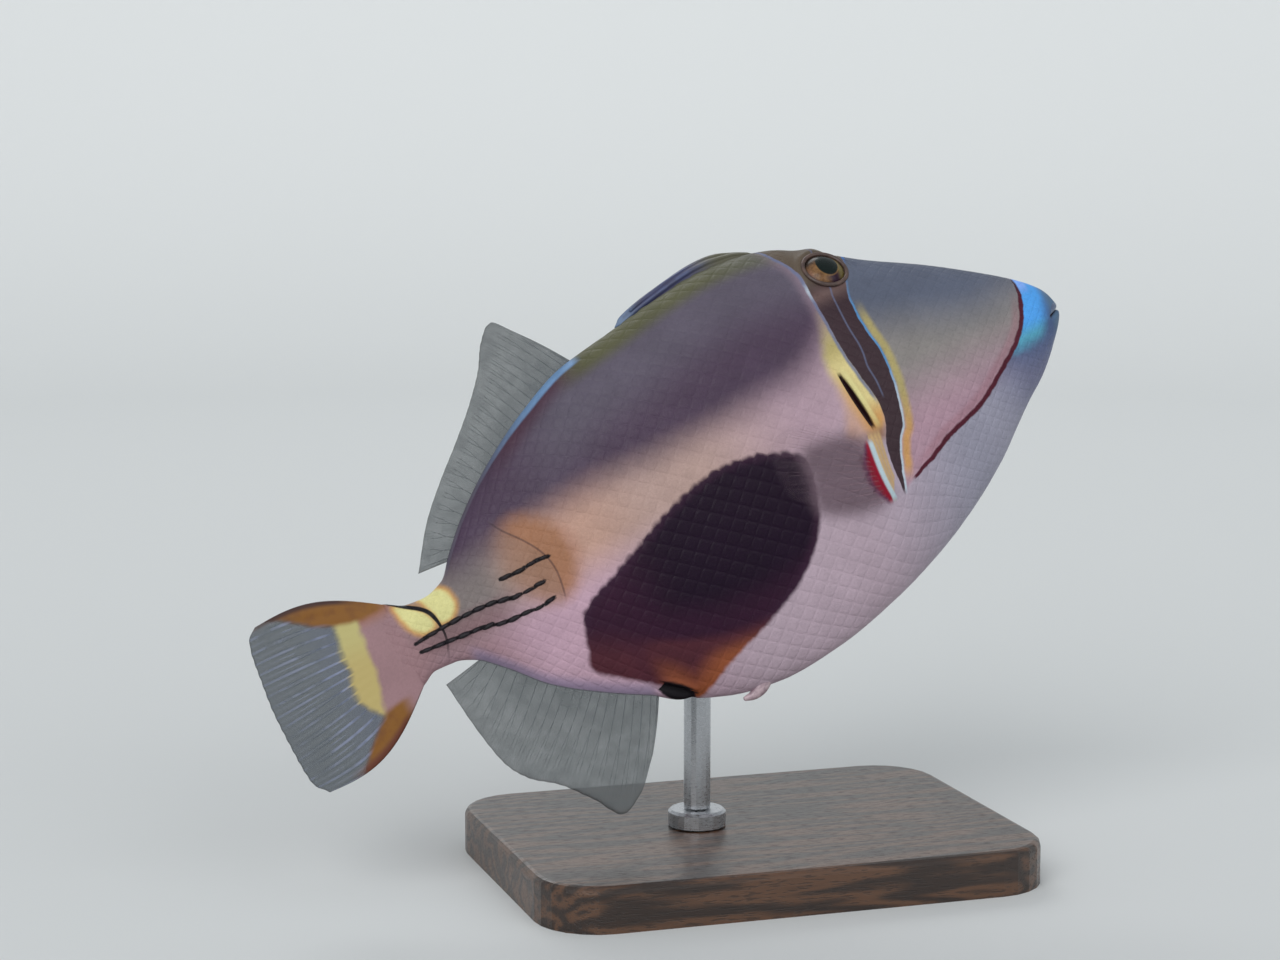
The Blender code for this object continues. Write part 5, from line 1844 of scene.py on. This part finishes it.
class StalkSpines:
    """Rows of small black spines on the tail stalk, their points forward."""

    SEED = 5
    FEWEST = 4
    PITCH = 2.75
    LENGTH = 1.5
    HALF_HEIGHT = 0.56
    RISE = 0.75
    LEAN = 0.9

    def form(self) -> Tiles:
        """One spine: a spindle on the skin that rises to a point leaning forward."""
        bm = bmesh.new()
        bmesh.ops.create_uvsphere(bm, u_segments=10, v_segments=6, radius=1.0)
        for vert in bm.verts:
            rise = max(vert.co.z, 0.0)
            vert.co.x = vert.co.x * self.LENGTH * (1 - 0.5 * rise) + self.LEAN * rise**1.5
            vert.co.y = vert.co.y * self.HALF_HEIGHT * (1 - 0.7 * rise)
            vert.co.z = vert.co.z * (self.RISE if vert.co.z > 0 else 0.45)
        return Tiles(bm)

    def build_side(self, side: Side) -> bpy.types.Mesh:
        """Makes the rows of one flank.

        Args:
            side: the flank.

        Returns:
            The joined spines, in the fish frame.
        """
        form = self.form()
        rng = np.random.default_rng(self.SEED)
        copies = []
        for line in Markings.SPINE_ROWS:
            length = line.along[-1] - line.RUN_ON
            count = max(self.FEWEST, round(length / self.PITCH))
            for k in range(count):
                along = (k + 0.5) * length / count
                station = float(np.interp(along, line.along, line.path[:, 0]))
                height = float(np.interp(along, line.along, line.path[:, 1]))
                grow = rng.uniform(0.8, 1.2) * (0.75 + 0.25 * math.sin(math.pi * along / length))
                tilt = rng.uniform(-0.09, 0.09)
                s = station - (form.points[:, 0] + tilt * form.points[:, 1]) * grow
                z = height + (form.points[:, 1] + tilt * form.points[:, 0]) * grow
                copies.append(SHAPE.flank(s, z, side.value, form.points[:, 2] * grow))
        mesh = form.join("stalk_spines", np.array(copies))
        if side is Side.RIGHT:
            mesh.flip_normals()
        return mesh

    def build(self, show: Showroom, material: bpy.types.Material) -> None:
        """Adds the rows of both flanks to the model."""
        for side in Side:
            show.add("stalk_spines_" + side.name.lower(), self.build_side(side), material, Slot.SPINES)


class PelvicSpine:
    """Short rough spine at the end of the pelvis."""

    # Distance behind the first station, depth under the belly's edge, radius.
    plan = ((0.0, 1.6, 2.0), (1.5, 0.2, 1.7), (3.5, -0.9, 1.1), (6.0, -1.3, 0.4))
    station = 101.0

    def build(self, show: Showroom, material: bpy.types.Material) -> None:
        """Adds the spine to the model."""
        path = smooth_path([point[:2] for point in self.plan], closed=False)
        radius = curves(self.plan)[1](path[:, 0])
        station = self.station + path[:, 0]
        height = SHAPE.BELLY(station) + path[:, 1]
        points = np.stack([-station, np.zeros(len(path)), height], -1)
        mesh = Tubes(40, 24).sweep("pelvic_spine", points[None], radius[None], SIDEWAYS)
        show.add("pelvic_spine", mesh, material, Slot.SKIN, ("pelvic_spine",))


@dataclass(frozen=True)
class WebFinish(Finish):
    """Clear web of a fin, a little milky, more opaque at its root."""

    name: str = "fin_web"
    colour: Tone = (88, 93, 95)
    edge: Tone = (66, 70, 74)
    cloud: int = 12
    root_alpha: float = 0.68
    alpha: float = 0.56

    def dress(self, g: Graph) -> None:
        """Feeds a clouded colour and the web's clearness."""
        colour = g.mix(self.colour, tuple(min(255, c + self.cloud) for c in self.colour), g.noise(500, 3))
        colour = g.blend(g["level"], colour, (0.94, 1.0, self.edge, 0.6))
        clear = g.times(g.rise(g["level"], 0.05, 0.7, self.root_alpha, self.alpha),
                        g.rise(g.noise(300, 3), 0.2, 0.8, 0.88, 1.1))
        g.surface(colour=colour, clear=clear, rough=0.45, gloss=0.3)
        g.bump(g.noise(900, 2), 0.012)


@dataclass(frozen=True)
class RayFinish(Finish):
    """Jointed fin rays, paler than the web."""

    name: str = "fin_rays"
    root: Tone = (146, 150, 156)
    tip: Tone = (148, 152, 152)
    alpha: float = 0.6

    def dress(self, g: Graph) -> None:
        """Feeds a colour that pales towards the tips, with a joint every millimetre or so."""
        reach = g["reach"]
        joints = g.math("SINE", g.times(reach, 170.0))
        colour = g.blend(joints, g.mix(self.root, self.tip, reach), (0.5, 1.0, self.root, 0.3))
        g.surface(colour=colour, clear=g.rise(reach, 0.6, 1.0, self.alpha, self.alpha * 0.6), rough=0.4)
        g.bump(joints, 0.04)


class TailPattern:
    """Node group with the tail fin's painted root, band and edge stripes."""

    NAME = "tail_markings"
    WEB, WEB_TIP, RIB = (80, 88, 104), (84, 91, 97), (150, 158, 190)
    GOLD, GOLD_TOP = (184, 166, 108), (186, 176, 118)
    ORANGE, ORANGE_TIP, RUST = (132, 88, 38), (96, 78, 56), (108, 66, 40)
    UPPER_RIM, LOWER_RIM, LINE = (70, 48, 44), (100, 56, 42), (20, 16, 22)

    def __init__(self) -> None:
        """Builds the group once."""
        g, end = start_group(self.NAME, {"Color": "Color", "Cover": "Float"})
        station, height, share, level = g["station"], g["height"], g["share"], g["level"]
        wander = g.times(g.math("SUBTRACT", g.noise(330, 3), 0.5), 2.0)
        arc, beat = g.sum(g["tail_arc"], wander), g.times(share, 16 * math.tau)
        ribs = g.rise(g.math("COSINE", beat), 0.55, 1.0)
        twigs = g.rise(g.math("COSINE", g.times(beat, 2.0)), 0.5, 1.0)
        ribs = g.math("MAXIMUM", ribs, g.times(twigs, g.rise(level, 0.5, 0.7, 0.0, 0.5)))
        ribs = g.times(ribs, g.rise(g.noise(170, 2), 0.36, 0.62, 0.15, 1.0))
        web = g.blend(station, self.WEB, (180, 190, self.WEB_TIP))
        web = g.mix(web, self.RIB, g.times(ribs, g.rise(level, 1.0, 0.5, 0.25, 0.75)))
        ragged = g.math("SUBTRACT", g.sum(arc, g.times(ribs, 0.8)), g.rise(height, -12, -5, 4.6, 0.0))
        yellow = g.times(g.rise(ragged, -6.4, -4.2), g.rise(height, -13, -10))
        colour = g.mix(web, g.blend(height, self.GOLD, (0, 8, self.GOLD_TOP)), yellow)
        flesh = g.rise(arc, -0.9, 0.9)
        colour = g.mix(colour, g.group(SkinPattern.NAME)["Color"], flesh)
        loose = g.times(wander, 0.4)
        upper, lower = (g.rise(g.sum(g[name], loose), -0.9, 0.7) for name in ("tail_top", "tail_low"))
        stripe = g.math("MAXIMUM", g.times(upper, g.rise(station, 166.5, 171)),
                        g.times(lower, g.rise(station, 171, 175), g.rise(station, 190.5, 186)))
        orange = g.blend(station, self.ORANGE, (184, 195, self.ORANGE_TIP))
        colour = g.mix(colour, g.blend(g.noise(380, 3), orange, (0.4, 0.8, self.RUST, 0.7)), stripe)
        colour = g.mix(colour, self.UPPER_RIM, g.times(g.rise(share, 0.04, 0.01), g.rise(station, 172, 178)))
        colour = g.mix(colour, self.LOWER_RIM, g.times(g.rise(share, 0.95, 0.985), g.rise(station, 172, 176),
                                                       g.rise(station, 192, 186)))
        line = g.times(g.stripe(g["stalk_line"], 0.5, 0.16), g.rise(g["stalk_along"], -0.5, 0.5))
        g.feed(end["Color"], g.mix(colour, self.LINE, line))
        g.feed(end["Cover"], g.math("MAXIMUM", g.math("MAXIMUM", flesh, yellow), stripe))


@dataclass(frozen=True)
class TailFinish(Finish):
    """Tail fin: painted where it is fleshy or striped, milky and clear elsewhere."""

    name: str = "tail_web"
    alpha: float = 0.66

    def dress(self, g: Graph) -> None:
        """Joins the tail's markings and clears the web between them."""
        pattern = g.group(TailPattern.NAME)
        clear = g.rise(pattern["Cover"], 0.0, 1.0, self.alpha, 1.0)
        g.surface(colour=pattern["Color"], clear=clear, rough=0.45, gloss=0.2)
        g.bump(g.noise(1100, 2), 0.012)


@dataclass(frozen=True)
class FoldedFinish(Finish):
    """Blue-violet black web, darker in the pleats' valleys as painted shade and paler on their crests as
    painted highlight, with a pale blue rear tip.
    """

    name: str = "folded_dorsal"
    # valley: painted shade in the pleats' valleys; pleat: painted highlight on their crests
    valley: Tone = (52, 54, 88)
    pleat: Tone = (74, 82, 118)
    tip: Tone = (104, 128, 160)
    stain: Tone = (56, 52, 74)
    front: Tone = (84, 82, 64)

    def dress(self, g: Graph) -> None:
        """Feeds a dark blue that pales on the pleats' crests as painted highlight, darkens in their valleys
        as painted shade, and pales towards the rear.
        """
        # Darker in the pleats' valleys, paler on their crests: painted shade and highlight.
        colour = g.blend(g["fold"], self.valley, (-0.6, 1.0, self.pleat))
        colour = g.blend(g["station"], colour, (86, 93, self.tip, 0.8))
        colour = g.blend(g.noise(300, 4), colour, (0.45, 0.7, self.stain, 0.5))
        g.surface(colour=g.blend(g["station"], self.front, (66, 75, colour)), rough=0.42)
        g.bump(g.noise(1400, 4), 0.08)


@dataclass(frozen=True)
class IrisFinish(Finish):
    """Eyeball: green-black pupil in a gold iris, dark above and below, with a painted pink highlight at its
    rear edge, under a wet coat.
    """

    name: str = "iris"
    pupil: float = 2.5
    brown: Tone = (98, 70, 48)
    amber: Tone = (130, 96, 64)
    olive: Tone = (104, 92, 54)
    lid: Tone = (50, 42, 38)
    # painted highlight at the iris's rear edge
    pink: Tone = (138, 100, 84)
    plum: Tone = (44, 24, 40)
    gold: Tone = (136, 104, 60)
    black: Tone = (18, 27, 25)
    rim: Tone = (44, 32, 30)

    def dress(self, g: Graph) -> None:
        """Paints the iris by the distance from the pupil's middle."""
        up, back = g["iris_up"], g["iris_back"]
        high, rear = g.times(g.sum(up, -0.3), 0.91), g.sum(back, 0.35)
        radius = g.math("SQRT", g.sum(g.times(high, high), g.times(rear, rear)))
        streak = g.noise(900, 4, 0.7, 0.6)
        colour = g.blend(streak, self.brown, (0.35, 0.65, self.amber))
        colour = g.blend(back, self.olive, (-2.2, -0.6, colour))
        colour = g.blend(up, colour, (1.0, 2.8, self.lid))
        # Pink crescent at the iris's rear edge: painted highlight.
        behind = g.times(g.rise(back, 3.2, 4.2, 0.0, 0.8), g.stripe(up, 1.6, 1.0, -0.6))
        below = g.times(g.rise(up, -1.4, -2.4), g.stripe(back, 1.3, 0.8, -0.5))
        colour = g.mix(g.mix(colour, self.pink, behind), self.plum, below)
        ring = g.times(g.stripe(radius, 0.1, 0.12, self.pupil + 0.16), g.rise(up, 1.4, 0.2), 0.6)
        colour = g.mix(colour, self.gold, ring)
        colour = g.blend(radius, colour, (self.pupil + 0.1, self.pupil - 0.1, self.black),
                         (4.4, 5.0, self.rim))
        g.surface(colour=colour, rough=g.rise(streak, 0.3, 0.7, 0.22, 0.34), gloss=0.1, coat=0.16,
                  coat_rough=0.06)


@dataclass(frozen=True)
class FleshFinish(Finish):
    """Soft skin of one tone with a darker mottle, for lips, eye rings and the pelvic spine."""

    name: str = "flesh"
    light: Tone = (100, 116, 140)
    dark: Tone = (78, 88, 114)
    roughness: float = 0.42
    grain: float = 700.0
    depth_mm: float = 0.08
    coat: float = 0.3

    def dress(self, g: Graph) -> None:
        """Feeds the mottle, a fine grain and a thin wet coat."""
        mottle = g.noise(self.grain, 4, 0.6, 0.4)
        g.surface(colour=g.blend(mottle, self.dark, (0.32, 0.66, self.light)), coat=self.coat, coat_rough=0.2,
                  rough=g.rise(mottle, 0.3, 0.7, self.roughness - 0.07, self.roughness + 0.08))
        g.bump(mottle, self.depth_mm)


@dataclass(frozen=True)
class WoodFinish(Finish):
    """Dark oiled wood, its grain along the base."""

    name: str = "stand_wood"
    pore: Tone = (30, 19, 14)
    dark: Tone = (44, 29, 21)
    light: Tone = (92, 62, 42)
    along: tuple[float, float, float] = (0.12, 1.0, 1.0)

    def dress(self, g: Graph) -> None:
        """Feeds growth rings bent by noise, fine pores and a satin sheen."""
        rings = g.math("SINE", g.times(g.noise(90, stretch=self.along), 46.0))
        fine = g.rise(g.noise(2600, 2, stretch=self.along), 0.34, 0.5)
        colour = g.blend(rings, self.dark, (-1.0, 1.2, self.light))
        g.surface(colour=g.mix(self.pore, colour, g.rise(fine, 0.0, 1.0, 0.45, 1.0)), coat=0.35,
                  coat_rough=0.25, rough=g.rise(fine, 0.0, 1.0, 0.55, 0.36))
        g.bump(fine, 0.05)


@dataclass(frozen=True)
class SteelFinish(Finish):
    """Brushed steel rod."""

    name: str = "stand_steel"
    dark: Tone = (176, 178, 182)
    light: Tone = (198, 200, 204)
    along: tuple[float, float, float] = (0.15, 0.15, 1.0)

    def dress(self, g: Graph) -> None:
        """Feeds fine marks round the rod into its roughness."""
        marks = g.noise(5200, stretch=self.along)
        g.surface(colour=g.mix(self.dark, self.light, marks), metal=1.0,
                  rough=g.rise(marks, 0.3, 0.7, 0.24, 0.4))
        g.bump(marks, 0.01)


class Stand:
    """Wooden base, collar and rod: the solids' own shapes with better finishes."""

    finishes = {"stand_base": WoodFinish(), "stand_collar": SteelFinish(), "stand_rod": SteelFinish()}

    def build(self) -> None:
        """Puts the finishes on the stand's solids."""
        made = {}
        for node, finish in self.finishes.items():
            if finish.name not in made:
                made[finish.name] = finish.build()
            solid = bpy.data.objects[node]
            for slot in solid.material_slots:
                slot.material = made[finish.name]
            LOG.info("%s: %s", node, finish.name)


@dataclass(frozen=True)
class FloorFinish(Finish):
    """Pale matt floor."""

    name: str = "floor"
    colour: Tone = (214, 216, 216)

    def dress(self, g: Graph) -> None:
        """Sets one matt colour."""
        g.surface(colour=self.colour, rough=0.9, gloss=0.1)


@dataclass(frozen=True)
class Studio:
    """Floor, lights and the camera at the photograph's viewing angle."""

    azimuth_deg: float = -18.0
    elevation_deg: float = 8.0
    target_mm: tuple[float, float, float] = (0.0, 0.0, 88.0)
    shift_mm: Pair = (24.16, 0.20)
    distance_mm: float = 632.0
    lens_mm: float = 80.0
    sensor_mm: float = 36.0
    near_clip: float = 0.01
    # Radii of the floor's flat rings, in metres, and the radius and steps of the curve up to its wall.
    flat: tuple[float, float, float] = (0.0, 0.6, 1.0)
    wall: float = 0.6
    wall_steps: int = 12
    floor_steps: int = 96
    # Name, shares of the camera's right and backward directions and of up, angle in degrees and power.
    lamps: tuple[tuple, ...] = (("key", -0.45, 1.0, 0.62, 40.0, 1.35), ("fill", 0.8, 0.9, 0.4, 50.0, 0.8),
                                ("rim", -0.3, -0.9, 0.95, 30.0, 0.5))
    surround: Tone = (222, 228, 232)
    surround_power: float = 0.6

    def build(self) -> None:
        """Makes the camera, the stage and the lights."""
        self.camera()
        self.floor()
        self.lights()

    def axes(self) -> tuple[Vector, Vector, Vector]:
        """Right, up and backward directions of the camera."""
        azimuth, elevation = math.radians(self.azimuth_deg), math.radians(self.elevation_deg)
        level = math.cos(elevation)
        right = Vector((math.cos(azimuth), math.sin(azimuth), 0))
        back = Vector((math.sin(azimuth) * level, -math.cos(azimuth) * level, math.sin(elevation)))
        return right, back.cross(right), back

    def camera(self) -> None:
        """Camera that frames the fish as the photograph does."""
        right, up, back = self.axes()
        data = bpy.data.cameras.new("camera")
        data.lens, data.sensor_width, data.clip_start = self.lens_mm, self.sensor_mm, self.near_clip
        camera = place_object("camera", data)
        place = Vector(self.target_mm) - right * self.shift_mm[0] - up * self.shift_mm[1]
        place += back * self.distance_mm
        turn = Matrix((right, up, back)).transposed()
        camera.matrix_world = Matrix.Translation(place * MM) @ turn.to_4x4()
        bpy.context.scene.camera = camera

    def floor(self) -> None:
        """Pale floor that curves up all round into a low wall."""
        profile = [(radius, 0.0) for radius in self.flat]
        for step in range(1, self.wall_steps + 1):
            turn = math.pi / 2 * step / self.wall_steps
            profile.append((self.flat[-1] + self.wall * math.sin(turn), self.wall * (1 - math.cos(turn))))
        bm = bmesh.new()
        verts = [bm.verts.new((x, 0.0, z)) for x, z in profile]
        for a, b in zip(verts, verts[1:]):
            bm.edges.new((a, b))
        bmesh.ops.spin(bm, geom=bm.verts[:] + bm.edges[:], cent=(0, 0, 0), axis=(0, 0, 1),
                       angle=math.tau, steps=self.floor_steps, use_merge=True)
        bmesh.ops.remove_doubles(bm, verts=bm.verts, dist=1e-5)
        bmesh.ops.recalc_face_normals(bm, faces=bm.faces)
        mesh = new_mesh("floor", bm)
        mesh.materials.append(FloorFinish().build())
        place_object("floor", mesh)

    def lights(self) -> None:
        """Broad soft lamps and an even pale surround."""
        right, _, back = self.axes()
        for name, aside, behind, above, angle, power in self.lamps:
            data = bpy.data.lights.new(name, "SUN")
            data.angle, data.energy = math.radians(angle), power
            offset = back * behind + right * aside + Vector((0, 0, above))
            place_object(name, data).rotation_euler = offset.to_track_quat("Z", "Y").to_euler()
        world = bpy.data.worlds.new("surround")
        world.use_nodes = True
        background = world.node_tree.nodes["Background"]
        background.inputs["Color"].default_value = linear(*self.surround)
        background.inputs["Strength"].default_value = self.surround_power
        bpy.context.scene.world = world
        bpy.context.scene.view_settings.view_transform = "Standard"


def main() -> None:
    """Builds the model's looks piece by piece."""
    logging.basicConfig(level=logging.INFO, format="%(name)s %(message)s")
    Studio().build()
    show = Showroom()
    SkinPattern(SkinColours())
    skin, scales = SkinFinish().build(), SkinFinish("scales", plates=True).build()
    show.add("body_skin", Skin().build(), skin, Slot.SKIN,
                     ("head", "jaw_upper", "jaw_lower", "trunk", "tail_stalk"))
    for side in Side:
        show.add("scales_" + side.name.lower(), Scales(side).build(), scales, Slot.SKIN)
    TailPattern()
    web, rays = WebFinish().build(), RayFinish().build()
    clear = WebFinish("pectoral_web", (124, 104, 114), root_alpha=0.04, alpha=0.025).build()
    clear_rays = RayFinish("pectoral_rays", (176, 128, 138), (150, 130, 140), 0.16).build()
    for name, root, edge, tips, count in (("dorsal_fin", (107.0, 152.0), SHAPE.BACK, DORSAL_TIPS, 24),
                                          ("anal_fin", (123.5, 155.5), SHAPE.BELLY, ANAL_TIPS, 21)):
        MedianFin(name, root, edge, 2.0, tips, RayPlan(count, 0.15)).build(show, web, rays)
    blue_rays = RayFinish("tail_rays", (170, 182, 210), (140, 150, 166), 0.7)
    TailFin().build(show, TailFinish().build(), blue_rays.build())
    for side in Side:
        PectoralFin(side).build(show, clear, clear_rays)
    FoldedDorsal().build(show, FoldedFinish().build())
    ring = FleshFinish("eye_ring", (96, 74, 66), (62, 47, 43), grain=400, coat=0.0)
    Eyes().build(show, IrisFinish().build(), ring.build())
    teeth = FleshFinish("teeth", (226, 220, 204), (196, 178, 158), roughness=0.3)
    Mouth().build(show, FleshFinish("lips", coat=0.15).build(), teeth.build())
    spines = FleshFinish("spines", (26, 18, 28), (14, 10, 16), roughness=0.6, coat=0.0)
    StalkSpines().build(show, spines.build())
    PelvicSpine().build(show, FleshFinish("pelvic_spine", (190, 166, 172), (150, 126, 136)).build())
    Stand().build()
    LOG.info("%d pieces", show.count)


if __name__ == "__main__":
    main()
